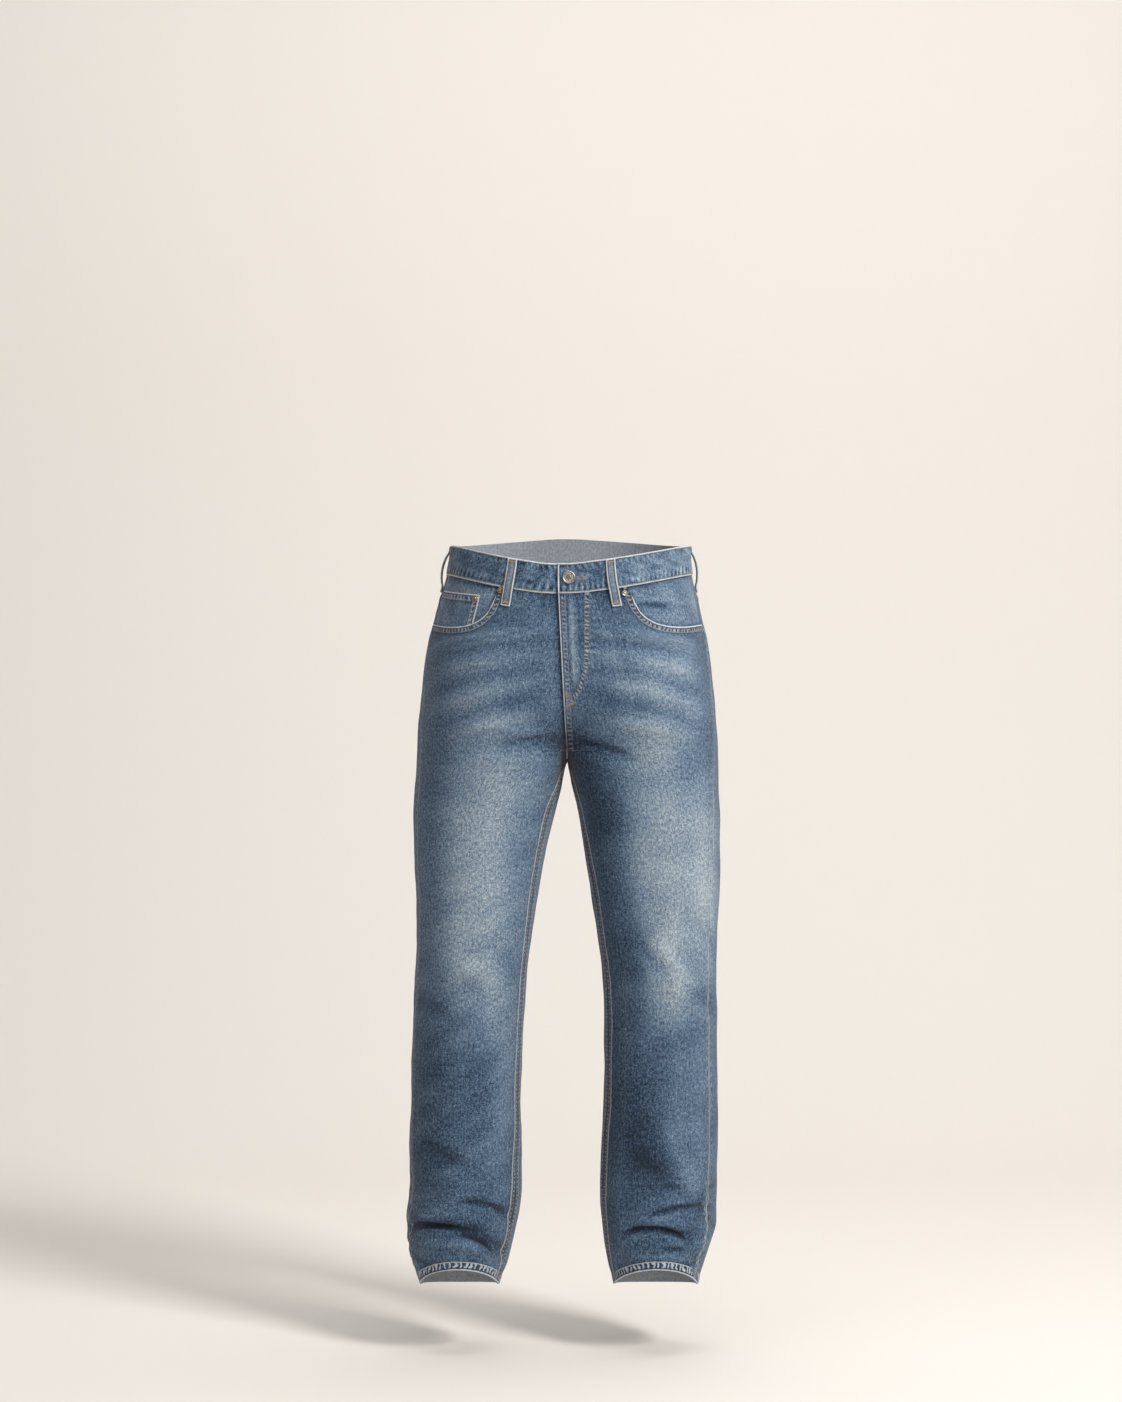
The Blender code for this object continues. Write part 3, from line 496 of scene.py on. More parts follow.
fly = {"width": 31.5, "top": -73.0, "straightTo": -156.0, "foot": -231.5, "footX": -7.5, "rows": 7.6,
       "edgeRow": 9.6, "bend": 0.55}


# The fly's topstitching: straight down at its width, then a quarter of a rounded square to its foot
def flyLine(inset=0.0, count=60):
    t = np.linspace(0, 1, count)
    turn = np.clip((t - fly["bend"]) / (1 - fly["bend"]), 0, 1) * math.pi / 2
    bendHeight = fly["straightTo"] - fly["foot"]
    straight = fly["top"] + (fly["straightTo"] - fly["top"]) * t / fly["bend"]
    z = np.where(t < fly["bend"], straight, fly["straightTo"] - bendHeight * np.sin(turn))
    z = z + np.where(t > fly["bend"], 0.7 * inset * np.sin(turn), 0)
    x = fly["footX"] + (fly["width"] - inset - fly["footX"]) * np.cos(turn) ** 1.05
    return x, z


print("form: sections, seams and folds ready")


# How far a point is from the panel's own seams and hem
def seamWays(side, angle, z, rate, isFront):
    above = z > form["crotch"]
    turnInner = angle - seamAngle(side, "Inner", z) - (0 if isFront else 2 * math.pi)
    point = surface(side, angle, z)
    toMiddle = side * point[..., 0] - middleLine(side, angle, z)
    inner = np.where(above, toMiddle, np.abs(turnInner) * rate)
    outer = np.abs(angle - seamAngle(side, "Side", z)) * rate
    return point, np.maximum(inner, 0), outer, z - hemLine(angle)


# The relief of a panel, in mm out from the form, and its tone, worn edges, painted shade and seams:
# soft unevenness, then the sum of what each seam, row of sewing and crease adds
def panelRelief(side, angle, z, isFront):
    normal, rate = outward(side, angle, z, withRate=True)
    point, inner, outer, hem = seamWays(side, angle, z, rate, isFront)
    around = angle * roundReach
    seed = (1.0 if isFront else 2.0) + 0.6 * side
    below = np.clip((form["crotch"] + 6 - z) / 10, 0, 1)
    reach = rate * 0.9 + 6

    relief = 0.45 * unevenness(around, z, 95, int(20 + 3 * seed))
    relief += 0.22 * unevenness(around, z, 38, int(40 + 3 * seed))
    creases = foldSum(smallFolds, side, angle, z, reach)
    relief += creases
    main = foldSum(mainFolds, side, angle, z, reach)

    edge = np.zeros_like(relief)
    paintedShade = np.zeros_like(relief)
    # folds tint the tone: lighter on their ridges by wear, darker in their troughs, partly as painted shade
    tone = 0.020 * main + (0.045 + 0.035 * np.clip((z + 280) / 20, 0, 1)) * creases
    low = np.clip((-800 - z) / 80, 0, 1)
    # painted shade in the crease troughs low on the leg
    paintedShade += low * np.clip(-0.20 * creases - 0.042 * main - 0.26, 0, 0.9)
    fields = [seamField(np.full(relief.shape, noSeam), 0, noSeam, 0, 0, 0)]

    # felled inner seam, down the leg
    ridge = strip(inner, -5, form["fell"], 1.6) * below
    pucker = wander(z, 6.8, seed) * bell(inner - 4.5, 6.0) * below
    relief += form["turned"] * ridge + 0.2 * pucker
    relief -= 0.3 * below * grooves(inner, 1.8, 7.2)
    tone += 0.06 * pucker * ridge - 0.05 * ridge
    # painted shade along the fell and beside its edge
    shade = 0.3 * bell(inner - form["fell"] - 2.4, 1.6) + 0.35 * strip(inner, -5, form["fell"] - 1.5, 1.5)
    paintedShade += below * shade
    fields.append(seamField(np.where(below > 0.5, form["fell"] - inner, noSeam), z, 6.6, 0.42, 0.55, 0.15))

    # side seam, with its allowance showing as a soft bump
    pucker = wander(z, 13.0, seed + 0.4) * bell(outer, 10)
    ankle = np.clip((-860 - z) / 120, 0, 1)
    relief += 0.35 * strip(outer, -4, 11, 3) + (0.25 + 0.75 * ankle) * pucker - 0.35 * bell(outer, 1.0)
    tone += (0.05 + 0.07 * ankle) * pucker - 0.08 * bell(outer + 0.5, 1.6)
    edge += 0.20 * bell(outer - 5, 3) * np.clip(pucker, 0, 1)
    waved = outer - 0.6 + (0.5 + 1.6 * ankle) * pucker
    fields.append(seamField(np.maximum(waved, -0.3), z, noSeam, 0.22 + 0.2 * ankle, 0, 0))

    # turned hem, roped: slanting ridges between the stitches and the edge
    alongHem = hemRun(side, angle)
    rope = wander(alongHem - 0.22 * hem, 6.6, seed + 0.9)
    inHem = strip(hem, -5, 13, 1.4)
    relief += form["turned"] * inHem + 0.42 * rope * strip(hem, 0.5, 12.5, 4)
    relief -= 0.35 * bell(hem - 11.2, 0.9) + 0.4 * bell(hem, 0.8)
    tone += 0.08 * rope * inHem + 0.02 * inHem
    # painted shade above the hem's step
    paintedShade += 0.4 * bell(hem - 16.0, 1.6)
    fields.append(seamField(hem, alongHem, 11.6, 0.9, 1.0, 0.9))
    relief += 0.5 * wander(alongHem, 17, seed + 2.2) * bell(hem - 20, 10)

    # centre seams above the crotch
    upper = 1 - below
    if isFront and side == left:
        x, height = flyLine()
        lineAngles = np.array([angleAtX(left, a, b) for a, b in zip(x, height)])
        distance, along = wayAbove(point, z, -262, surface(left, lineAngles, height))
        across = side * point[..., 0] - form["flyShift"] * side
        limit = np.interp(-z, -height, x, left=fly["width"], right=0) - form["flyShift"]
        inside = np.clip((limit - across) / 1.5 + 0.5, 0, 1) * np.clip((z + 244) / 6, 0, 1) * upper
        turned = form["turned"] * 0.6 * upper * strip(inner, -4, 5, 2)
        relief += 0.7 * inside + turned * np.clip((z + 262) / 10, 0, 1)
        relief -= 0.3 * grooves(distance, 1.0, 6.2) * inside
        ripples = wander(z, 8.5, 3.3) * bell(distance - 4, 5)
        relief += 0.16 * ripples * upper
        relief -= 0.5 * bell(inner - 12, 1.6) * inside * np.clip((z + 225) / 40, 0, 1)
        rope = wander(z, 6.2, 5.1) * strip(inner, 1.2, 9.0, 1.5) * upper
        reachDown = np.clip((z + 205) / 25, 0, 1) * np.clip((-74 - z) / 14, 0, 1) * upper
        marks = 0.75 + 0.25 * wander(z, 7.4, 8.1)
        edge += 0.14 * bell(inner - 17.0, 2.6) * reachDown * marks
        tone += 0.07 * ripples + 0.05 * rope + 0.22 * bell(inner - 17.5, 6.4) * reachDown * marks
        tone -= 0.16 * bell(inner - 11.6, 1.4) * reachDown + 0.07 * bell(inner - 27, 3.0) * inside
        tone += 0.10 * bell(distance + 3.0, 5.0) * reachDown * (1 - inside)
        relief += 0.22 * rope
        fields.append(seamField(np.where(upper > 0.5, inner, noSeam), z, 9.2, 0.7, 0.3, 0.15))
        onFly = (inside > 0.5) & (upper > 0.5) & (distance < 11)
        rowWay = np.where(onFly, distance + 2.0, noSeam)
        fields.append(seamField(rowWay, along, fly["rows"] + 1.8, 0, 0.5, 0))
    elif isFront:
        # the right front's inner edge lies under the fly: painted shadow darkens it, and the puckers beside
        # it are lighter by wear
        paintedShade += 0.5 * bell(inner - 1.5, 3.0) * upper
        tone += 0.06 * wander(z, 9, 4.0) * bell(inner - 4, 5) * upper
        tone -= (0.10 * bell(inner, 9) + 0.45 * bell(inner, 2.4)) * upper
    else:
        turned = form["turned"] * 0.8 * strip(inner, -4, form["fell"], 1.6)
        relief += upper * (turned - 0.3 * grooves(inner, 2, 7.4))
        pucker = wander(z, 7.2, 6.1 + side) * bell(inner - 4.5, 6) * upper
        relief += 0.2 * pucker
        tone += 0.07 * pucker
        fields.append(seamField(np.where(upper > 0.5, form["fell"] - inner, noSeam), z, 6.6, 0.5, 0.5, 0.15))

    if isFront:
        # the pocket's mouth: a turned band with two rows of stitches and puckers between them
        lineAngle, lineZ = mouthLine(side)
        distance, along = wayAbove(point, z, -190, surface(side, lineAngle, lineZ))
        band = strip(distance, -5, mouth["band"], 1.4)
        rope = wander(along - 0.8 * distance, 6.6, 7.7 + side)
        relief += form["turned"] * band + 0.32 * rope * strip(distance, 1, 9, 3)
        relief -= 0.3 * grooves(distance, 2.0, 7.6) + 0.5 * bell(distance, 0.7)
        relief += 0.28 * wander(along, 11.0, 1.2) * bell(distance - 14, 5)
        tone += 0.06 * rope * band - 0.04 * band
        # painted shade beyond the band's edge
        paintedShade += 0.3 * bell(distance - 11.4, 1.6)
        fields.append(seamField(distance, along, 8.6, 0.95, 0.55, 0.35))
        # under the waistband: puckers, and painted shade along its seam
        seam = waistSeam(side, np.clip((angle / seamAngle(side, "Side", z)), 0, 1)) - z
        underBand = bell(seam, 7.0) * (distance > 6)
        puff = wander(around, 9.5, 2.4 + side) * underBand
        relief += 0.3 * puff
        tone += 0.08 * puff - 0.05 * underBand
        paintedShade += 0.55 * bell(seam, 2.6)
    else:
        seam = yokeFoot(angle) - z
        relief -= 0.3 * grooves(seam, 1.6)
        tone += 0.07 * wander(around, 7.5, 8.8) * bell(seam - 4, 6)
        # painted shade along the yoke's seam
        paintedShade += 0.5 * bell(seam, 1.2)
    tone += fadeAndPaintedLightTone(side, angle, z, reach) + 0.035 * unevenness(around, z, 60, int(60 + seed))
    return normal, relief, tone, edge, paintedShade, nearestSeam(fields)


# Fading by wear, with painted light and shade mixed in: side or 0 for both, height, angle, half width, half
# height, strength
fadeAndPaintedLightSpots = np.array([
    (-1, -445, 90, 62, 215, 0.44),
    (1, -440, 99, 60, 205, 0.38),
    (1, -465, 78, 24, 70, 0.06),
    # painted light on the outer side of the wearer's left leg, where the key light falls
    (1, -455, 140, 40, 120, 0.32),
    (1, -560, 150, 30, 90, 0.12),
    # darker on the wearer's left inner thigh: partly darker denim near the inseam, partly painted shade
    (1, -470, 42, 30, 170, -0.16),
    (1, -352, 52, 40, 50, -0.20),
    (0, -200, 72, 26, 60, -0.08),
    (-1, -590, 66, 40, 110, 0.07),
    (-1, -660, 62, 36, 50, 0.14),
    (-1, -750, 40, 22, 90, 0.20),
    (-1, -720, 132, 30, 60, -0.05),
    (1, -615, 98, 44, 60, 0.16),
    # painted shadows beside the knee and under a crease
    (1, -575, 68, 26, 50, -0.12),
    (1, -640, 128, 22, 16, -0.13),
    (1, -650, 100, 30, 40, 0.10),
    (1, -740, 132, 34, 70, 0.16),
    (0, -205, 118, 64, 70, 0.13),
    (1, -190, 118, 60, 60, 0.10),
    (1, -290, 102, 36, 50, 0.10),
    (1, -160, 132, 34, 26, 0.14),
    (1, -262, 128, 26, 20, 0.08),
    (0, -150, 100, 60, 50, 0.06),
    (0, -330, 60, 40, 60, 0.08),
    (0, -480, 30, 34, 160, 0.08),
    (0, -760, 95, 70, 110, -0.03),
    (1, -860, 128, 24, 60, 0.16),
    (1, -790, 38, 30, 100, -0.09),
    (1, -840, 70, 30, 60, -0.15),
    (1, -800, 102, 30, 60, 0.10),
    (-1, -850, 62, 40, 60, 0.08),
    (-1, -870, 128, 40, 26, -0.10),
    (1, -880, 80, 34, 40, -0.08),
    (0, -930, 100, 90, 60, 0.03),
    (0, -1025, 100, 90, 25, 0.08),
    (0, -190, 280, 75, 80, 0.26),
    (0, -240, 300, 60, 40, 0.12),
    (0, -420, 272, 60, 140, 0.20),
    (0, -610, 268, 60, 50, 0.14),
    (0, -1000, 270, 70, 50, 0.10),
    (-1, -350, 150, 30, 260, 0.05),
    # painted shade in the crotch
    (0, -300, 2, 34, 46, -0.46),
    (-1, -972, 104, 60, 40, -0.08),
], dtype=float)


# The cloth's tone: a middle one and each spot's strength, which falls off smoothly from its centre
def fadeAndPaintedLightTone(side, angle, z, reach):
    total = np.full(np.broadcast(angle, z).shape, 0.30)
    for which, height, place, width, tall, strength in fadeAndPaintedLightSpots:
        if which in (0, side):
            along = turnFrom(angle, place) * reach
            total += strength * np.exp(-((along / width) ** 2) - np.abs((z - height) / tall) ** 2.6)
    return total


# Meshes

def setMesh(name, points, faces, uv=None, values=None):
    mesh = bpy.data.meshes.new(name)
    mesh.from_pydata((points * mm).tolist(), [], faces)
    if uv is not None:
        loops = np.empty(len(mesh.loops), dtype=np.int32)
        mesh.loops.foreach_get("vertex_index", loops)
        layer = mesh.uv_layers.new(name="cloth")
        layer.data.foreach_set("uv", (uv * mm)[loops].ravel().astype(np.float32))
    for key, value in (values or {}).items():
        mesh.attributes.new(key, "FLOAT", "POINT").data.foreach_set("value", value.astype(np.float32))
    mesh.shade_smooth()
    mesh.set_sharp_from_angle(angle=math.radians(48))
    made = bpy.data.objects.new(name, mesh)
    bpy.context.scene.collection.objects.link(made)
    return made


# A thin shell from a grid of outer points and one of inner points, both with odd counts. The inner
# face keeps every second row and column, and a rim of triangles joins the two.
def shell(name, outer, inner, uv, tone, edge, paintedShade, seam):
    rows, columns = outer.shape[:2]
    tone, edge, paintedShade = (np.broadcast_to(value, (rows, columns)) for value in (tone, edge, paintedShade))
    inner, innerUv = inner[::2, ::2], uv[::2, ::2]
    outerIndex = np.arange(rows * columns).reshape(rows, columns)
    innerIndex = np.arange(inner.shape[0] * inner.shape[1]).reshape(inner.shape[:2]) + rows * columns

    def quads(index):
        corners = [index[:-1, :-1], index[1:, :-1], index[1:, 1:], index[:-1, 1:]]
        return np.stack(corners, axis=-1).reshape(-1, 4)

    def border(index):
        return np.concatenate([index[0, :-1], index[:-1, -1], index[-1, :0:-1], index[:0:-1, 0]])

    out, back = border(outerIndex), border(innerIndex)
    a, b, c = out[0::2], out[1::2], np.roll(out, -2)[0::2]
    d, e = back, np.roll(back, -1)
    rim = np.concatenate([np.stack([a, b, d], 1), np.stack([d, b, e], 1), np.stack([b, c, e], 1)])
    outerFaces, innerFaces = quads(outerIndex), quads(innerIndex)[:, ::-1]
    row, column = rows // 2, columns // 2
    place = outer[row, column]
    faceNormal = np.cross(outer[row + 1, column] - place, outer[row, column + 1] - place)
    if np.dot(faceNormal, place - inner[inner.shape[0] // 2, inner.shape[1] // 2]) < 0:
        outerFaces, innerFaces = outerFaces[:, ::-1], innerFaces[:, ::-1]
        rim = rim[:, ::-1]
    points = np.concatenate([outer.reshape(-1, 3), inner.reshape(-1, 3)])
    count = innerIndex.size
    values = {
        "tone": np.concatenate([tone.ravel(), np.full(count, 0.5)]),
        "edge": np.concatenate([np.clip(edge, 0, 1).ravel(), np.zeros(count)]),
        "paintedShade": np.concatenate([np.clip(paintedShade, 0, 1).ravel(), np.zeros(count)]),
        "reverse": np.concatenate([np.zeros(tone.size), np.ones(count)]),
    }
    for key, part, beyond in zip(seamKeys, np.moveaxis(seam, -1, 0), (noSeam, 0, noSeam, 0, 0, 0)):
        values[key] = np.concatenate([part.ravel(), np.full(count, beyond)])
    faces = outerFaces.tolist() + innerFaces.tolist() + rim.tolist()
    allUv = np.concatenate([uv.reshape(-1, 2), innerUv.reshape(-1, 2)])
    return setMesh(name, points, faces, allUv, values)


def clothName(word, side):
    return word + sideName(side).capitalize() + "Cloth"


def keepSide(side, points, angle, z):
    above = np.where(z > form["crotch"], middleLine(side, angle, z), 0)
    points[..., 0] = side * np.maximum(points[..., 0] * side, above + 0.5 * form["gap"])
    return points


# Distances across and down the cloth from its middle column, as texture coordinates in mm
def clothUv(points, shift):
    across = np.linalg.norm(np.diff(points, axis=1), axis=2)
    across = np.concatenate([np.zeros((len(points), 1)), np.cumsum(across, axis=1)], axis=1)
    across -= across[:, across.shape[1] // 2][:, None]
    return np.stack([across + shift, points[..., 2]], axis=-1)


def clothPiece(name, side, angle, z, low, thick, relief, tone, edge, paintedShade, seam, normal=None, shift=0.0):
    angle, z = np.broadcast_arrays(angle, z)
    place = surface(side, angle, z)
    if normal is None:
        normal = outward(side, angle, z)
    outer = keepSide(side, place + normal * (low + thick + relief)[..., None], angle, z)
    wave = np.clip(relief, -6, 0)
    inner = keepSide(side, place + normal * (low + wave)[..., None], angle, z)
    made = shell(name, outer, inner, clothUv(place, shift), tone, edge, paintedShade, seam)
    made["outer"] = 0
    return made


# Rows or columns packed towards both ends: even steps minus a share of one sine
def packed(count, share):
    t = np.linspace(0, 1, count)
    return t - share * np.sin(2 * math.pi * t) / (2 * math.pi)


print("mesh helpers: ready")


# Panels

panels = {"columns": 125, "packing": 0.5, "crotchRows": 46, "legRows": 211, "ankleRows": 100, "ankle": -880.0}


# Even levels down the leg, closer together above the hem
def legLevels():
    upper = np.linspace(form["crotch"] - 1.2, panels["ankle"], panels["legRows"])
    return np.concatenate([upper, np.linspace(panels["ankle"], form["hemLevel"], panels["ankleRows"])[1:]])


# The levels bent to the hem's edge: its lift, times a share that fades out upwards
def legHeights(span, side, share):
    level = legLevels()[:, None]
    lift = hemLine(atShare(span, side, share, level)) - form["hemLevel"]
    near = np.clip(1 - (level - form["hemLevel"]) / form["hemReach"], 0, 1)
    return level + lift * near**1.5


# Levels that pack towards the fork, where the leg's inner part closes fast
def crotchHeights():
    turn = np.linspace(0.93, 0, panels["crotchRows"])
    return form["crotch"] - form["crotch"] * (1 - (1 - turn**2) ** (1 / form["fork"]))


def lowerRows(span, side, share):
    fork = np.broadcast_to(crotchHeights()[:, None], (panels["crotchRows"], len(share)))
    return [fork, legHeights(span, side, share)]


# Rows of a front: a band along the mouth and waist, even rows to the fork, then the leg's
def frontHeights(side, share):
    top = mouthHeight(side, share)
    steep = np.abs(np.gradient(top, share)) / (1.72 * 186)
    firstBand = 13.0 * np.clip(np.sqrt(1 + steep**2), 1, 1.9)
    upper = top - firstBand * np.linspace(0, 1, 15)[:, None]
    start = crotchHeights()[0]
    between = upper[-1] + (start - upper[-1]) * np.linspace(0, 1, 34)[1:-1, None]
    return np.concatenate([upper, between] + lowerRows(frontSpan, side, share))


def backHeights(side, share):
    top = yokeFoot(atShare(backSpan, side, share, yoke["level"])) - form["gap"]
    upper = top + (crotchHeights()[0] - top) * np.linspace(0, 1, 42)[:-1, None]
    return np.concatenate([upper] + lowerRows(backSpan, side, share))


# An odd count of rows, by one more between the first two
def oddRows(grid):
    return grid if len(grid) % 2 else np.concatenate([grid[:1], (grid[:1] + grid[1:2]) / 2, grid[1:]])


denimPieces = []


def makePanel(side, isFront):
    share = packed(panels["columns"], panels["packing"])
    if isFront:
        z, span, word = oddRows(frontHeights(side, share)), frontSpan, "front"
    else:
        z, span, word = oddRows(backHeights(side, share)), backSpan, "back"
    angle = atShare(span, side, share, z)
    normal, relief, tone, edge, paintedShade, seam = panelRelief(side, angle, z, isFront)
    shift = {"front": 0, "back": 700}[word] + 1500 * side
    low = np.full(z.shape, -form["cloth"])
    made = clothPiece(clothName(word, side), side, angle, z, low, form["cloth"], relief, tone, edge, paintedShade,
                      seam, normal, shift)
    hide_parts(word + "_" + sideName(side))
    denimPieces.append(made)
    return made


for side in (right, left):
    for isFront in (True, False):
        makePanel(side, isFront)
print("panels: fronts and backs made")


# Yokes

def makeYoke(side):
    share = packed(141, 0.3)
    foot = yokeFoot(atShare(backSpan, side, share, yoke["level"]))
    top = topEdge(atShare(backSpan, side, share, form["seamLevel"])) - form["band"] - form["gap"]
    z = top + (foot - top) * np.linspace(0, 1, 41)[:, None]
    angle = atShare(backSpan, side, share, z)
    normal, rate = outward(side, angle, z, withRate=True)
    _, inner, outer, _ = seamWays(side, angle, z, rate, False)
    around = angle * roundReach
    fromTop, fromFoot = top - z, z - foot
    pucker = wander(around, 7.4, 9.1 + side)
    relief = 0.3 * unevenness(around, z, 60, 90 + side)
    turned = form["turned"] * 0.9 * strip(fromFoot, -4, form["fell"], 1.6)
    relief += turned + 0.22 * pucker * bell(fromFoot - 4.5, 6)
    relief -= 0.3 * grooves(fromFoot, 1.8, 7.2)
    relief += form["turned"] * 0.8 * strip(inner, -4, form["fell"], 1.6) * (side == left)
    topPucker = wander(around, 9.2, 4.4 + side)
    relief += 0.3 * topPucker * bell(fromTop, 7) + 0.3 * strip(outer, -4, 11, 3)
    edge = 0.2 * bell(outer - 5, 3)
    seam = nearestSeam([seamField(fromFoot, around, 8.6, 0.75, 0.7, 0.25),
                        seamField(inner, z, 8.6, 0.6, 0.5, 0.25),
                        seamField(outer, z, noSeam, 0.25, 0, 0)])
    tone = fadeAndPaintedLightTone(side, angle, z, rate) + 0.04 * unevenness(around, z, 60, 77 + side)
    tone += 0.08 * pucker * bell(fromFoot - 4.5, 7) + 0.07 * topPucker * bell(fromTop, 8)
    # painted shade under the waistband and beside the felled seam's edge
    paintedShade = 0.5 * bell(fromTop, 1.8) + 0.3 * bell(fromFoot - 11, 1.5)
    low = np.full(z.shape, -form["cloth"])
    made = clothPiece(clothName("yoke", side), side, angle, z, low, form["cloth"], relief, tone, edge, paintedShade,
                      seam, normal, 3300 + 400 * side)
    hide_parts("yoke_" + sideName(side))
    denimPieces.append(made)
    return made


yokeMeshes = {side: makeYoke(side) for side in (right, left)}


# Front pocket facings, and the coin pocket on the right one

facing = {"under": 0.5, "tuck": 10.0}


def makeFacing(side):
    share = mouth["facing"] + (1 - mouth["facing"]) * packed(61, 0.2)
    seen = np.maximum(share, mouth["start"] + 0.02 * (1 - mouth["start"]))
    top, foot = waistSeam(side, share), mouthHeight(side, seen) - facing["tuck"]
    z = top + (foot - top) * np.linspace(0, 1, 61)[:, None]
    angle = atShare(frontSpan, side, share, z)
    normal, rate = outward(side, angle, z, withRate=True)
    point = surface(side, angle, z)
    around = angle * roundReach
    lineAngle, lineZ = mouthLine(side)
    distance, _ = wayTo(point, surface(side, lineAngle, lineZ))
    creaseFall, creaseDepth = (86, 1.0) if side == left else (92, 0.3)
    crease = bell(z + creaseFall + 0.1 * (around - 200), 4.0)
    crease = crease * np.exp(-(((point[..., 0] * side - 118) / 26) ** 4))
    relief = -0.9 * crease * creaseDepth + 0.2 * unevenness(around, z, 40, 30 + side)
    relief -= 0.6 * strip(distance, -3, 3, 3)
    relief = np.minimum(relief, 0.15)
    outer = np.abs(angle - seamAngle(side, "Side", z)) * rate
    # the left facing's crease is painted darker as shade, and painted shade runs under the waistband and
    # along the mouth's edge
    tone = 0.49 + 0.05 * unevenness(around, z, 34, 31 + side) - 0.16 * crease * (side == left)
    fromTop = top - z
    tone += 0.09 * bell(z + 78 + 4 * side, 4) - 0.1 * bell(fromTop, 5)
    tone += 0.05 * wander(around, 9, 2.0) * bell(fromTop, 8)
    paintedShade = 0.75 * bell(distance, 3.0) + 0.5 * bell(fromTop, 2.0) + 0.6 * crease * (side == left)
    edge = 0.1 * bell(outer - 4, 2)
    seam = seamField(outer, z, noSeam, 0.25, 0, 0)
    low = np.full(z.shape, -2 * form["cloth"] - facing["under"])
    made = clothPiece(clothName("facing", side), side, angle, z, low, form["cloth"], relief, tone, edge, paintedShade,
                      seam, normal, 4300 + 300 * side)
    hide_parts("pocket_facing_" + sideName(side))
    denimPieces.append(made)
    return made


facingMeshes = {side: makeFacing(side) for side in (right, left)}

coin = {"top": -64.0, "fall": -9.0, "hem": 11.0, "thick": 1.0, "span": 300}


# The coin pocket's top edge falls inwards, and its foot is the mouth
def coinTop(share):
    return coin["top"] + coin["fall"] * (1 - share) / (1 - coinStart)


def coinHeights(share, down):
    top = coinTop(share)
    foot = mouthHeight(right, share) + 0.6
    return top + (foot - top) * down


# The coin pocket's relief: its hem and side edge stand out, less the grooves of the sewing
def coinRelief(share, z):
    fromTop = coinTop(share) - z
    fromSide = (share - coinStart) * coin["span"]
    relief = 0.45 * strip(fromTop, -4, coin["hem"], 1.6) + 0.25 * strip(fromSide, -4, 9, 2)
    relief -= 0.2 * (grooves(fromTop, 2, 8.5) + grooves(fromSide, 2, 7))
    return relief, fromTop, fromSide


def makeCoinPocket():
    share = coinStart + (0.985 - coinStart) * np.linspace(0, 1, 51)
    z = coinHeights(share, np.linspace(0, 1, 51)[:, None])
    angle = atShare(frontSpan, right, share, z)
    relief, fromTop, fromSide = coinRelief(share, z)
    around = angle * roundReach
    pucker = wander(around, 6.4, 3.1)
    relief = relief + 0.15 * pucker * bell(fromTop - 5, 5)
    tone = 0.44 + 0.05 * unevenness(around, z, 28, 41) + 0.05 * pucker * bell(fromTop - 5, 5)
    seam = nearestSeam([seamField(fromTop, around, 9.4, 1.0, 0.6, 0.3),
                        seamField(fromSide, z, 8.0, 1.0, 0.6, 0.3)])
    # painted shade below the hem's step and where the pocket goes under the mouth's edge
    paintedShade = 0.4 * bell(fromTop - 13, 1.6) + 0.6 * bell(z - mouthHeight(right, share), 3.5)
    low = np.full(z.shape, -form["cloth"] - facing["under"] + form["gap"])
    made = clothPiece("coinPocketCloth", right, angle, z, low, coin["thick"], relief, tone, 0, paintedShade, seam,
                      None, 5200)
    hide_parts("coin_pocket")
    denimPieces.append(made)
    return made


coinMesh = makeCoinPocket()
print("yokes, facings and coin pocket: made")


# Back pockets: five-cornered patches

patch = {"width": 146.0, "foot": 120.0, "side": 138.0, "point": 22.0, "fromBack": 27.0, "belowYoke": 20.0,
         "hem": 16.0}
seat = {"foot": -330, "top": -70, "rows": 60, "columns": 220, "end": math.pi * 0.9}
seatHeights = np.linspace(seat["foot"], seat["top"], seat["rows"])
seatAngles = np.linspace(fullTurn, seat["end"], seat["columns"])
seatRuns = {}
for side in (right, left):
    grid = surface(side, seatAngles[None, :], seatHeights[:, None])
    steps = np.linalg.norm(np.diff(grid, axis=1), axis=2)
    seatRuns[side] = np.concatenate([np.zeros((seat["rows"], 1)), np.cumsum(steps, axis=1)], axis=1)


# The angle at a distance round the seat from the centre back, by closing in on it seven times
def angleFromBack(side, distance, z):
    table = seatRuns[side]
    row = (z - seat["foot"]) / (seat["top"] - seat["foot"]) * (seat["rows"] - 1)
    i = np.clip(row.astype(int), 0, seat["rows"] - 2)
    s = row - i
    angle = 2 * math.pi - distance / 120
    for _ in range(7):
        column = (fullTurn - angle) / (fullTurn - seat["end"]) * (seat["columns"] - 1)
        j = np.clip(column.astype(int), 0, seat["columns"] - 2)
        t = np.clip(column - j, 0, 1)
        above = table[i, j] * (1 - t) + table[i, j + 1] * t
        below = table[i + 1, j] * (1 - t) + table[i + 1, j + 1] * t
        angle = angle + (above * (1 - s) + below * s - distance) / 125
    return angle


def patchWidth(down):
    return patch["width"] + (patch["foot"] - patch["width"]) * down


# A point of a back pocket: across from -1 to 1 and down from 0 to 1, below the yoke's seam
def patchPlace(side, across, down):
    width = patchWidth(down)
    distance = patch["fromBack"] + patch["width"] / 2 + across * width / 2
    roughZ = np.broadcast_to(-115 - patch["side"] * down, np.shape(distance))
    rough = angleFromBack(side, distance, roughZ)
    top = yokeFoot(rough) - patch["belowYoke"]
    z = top - down * (patch["side"] + patch["point"] * (1 - np.abs(across)))
    return angleFromBack(side, distance, z), z


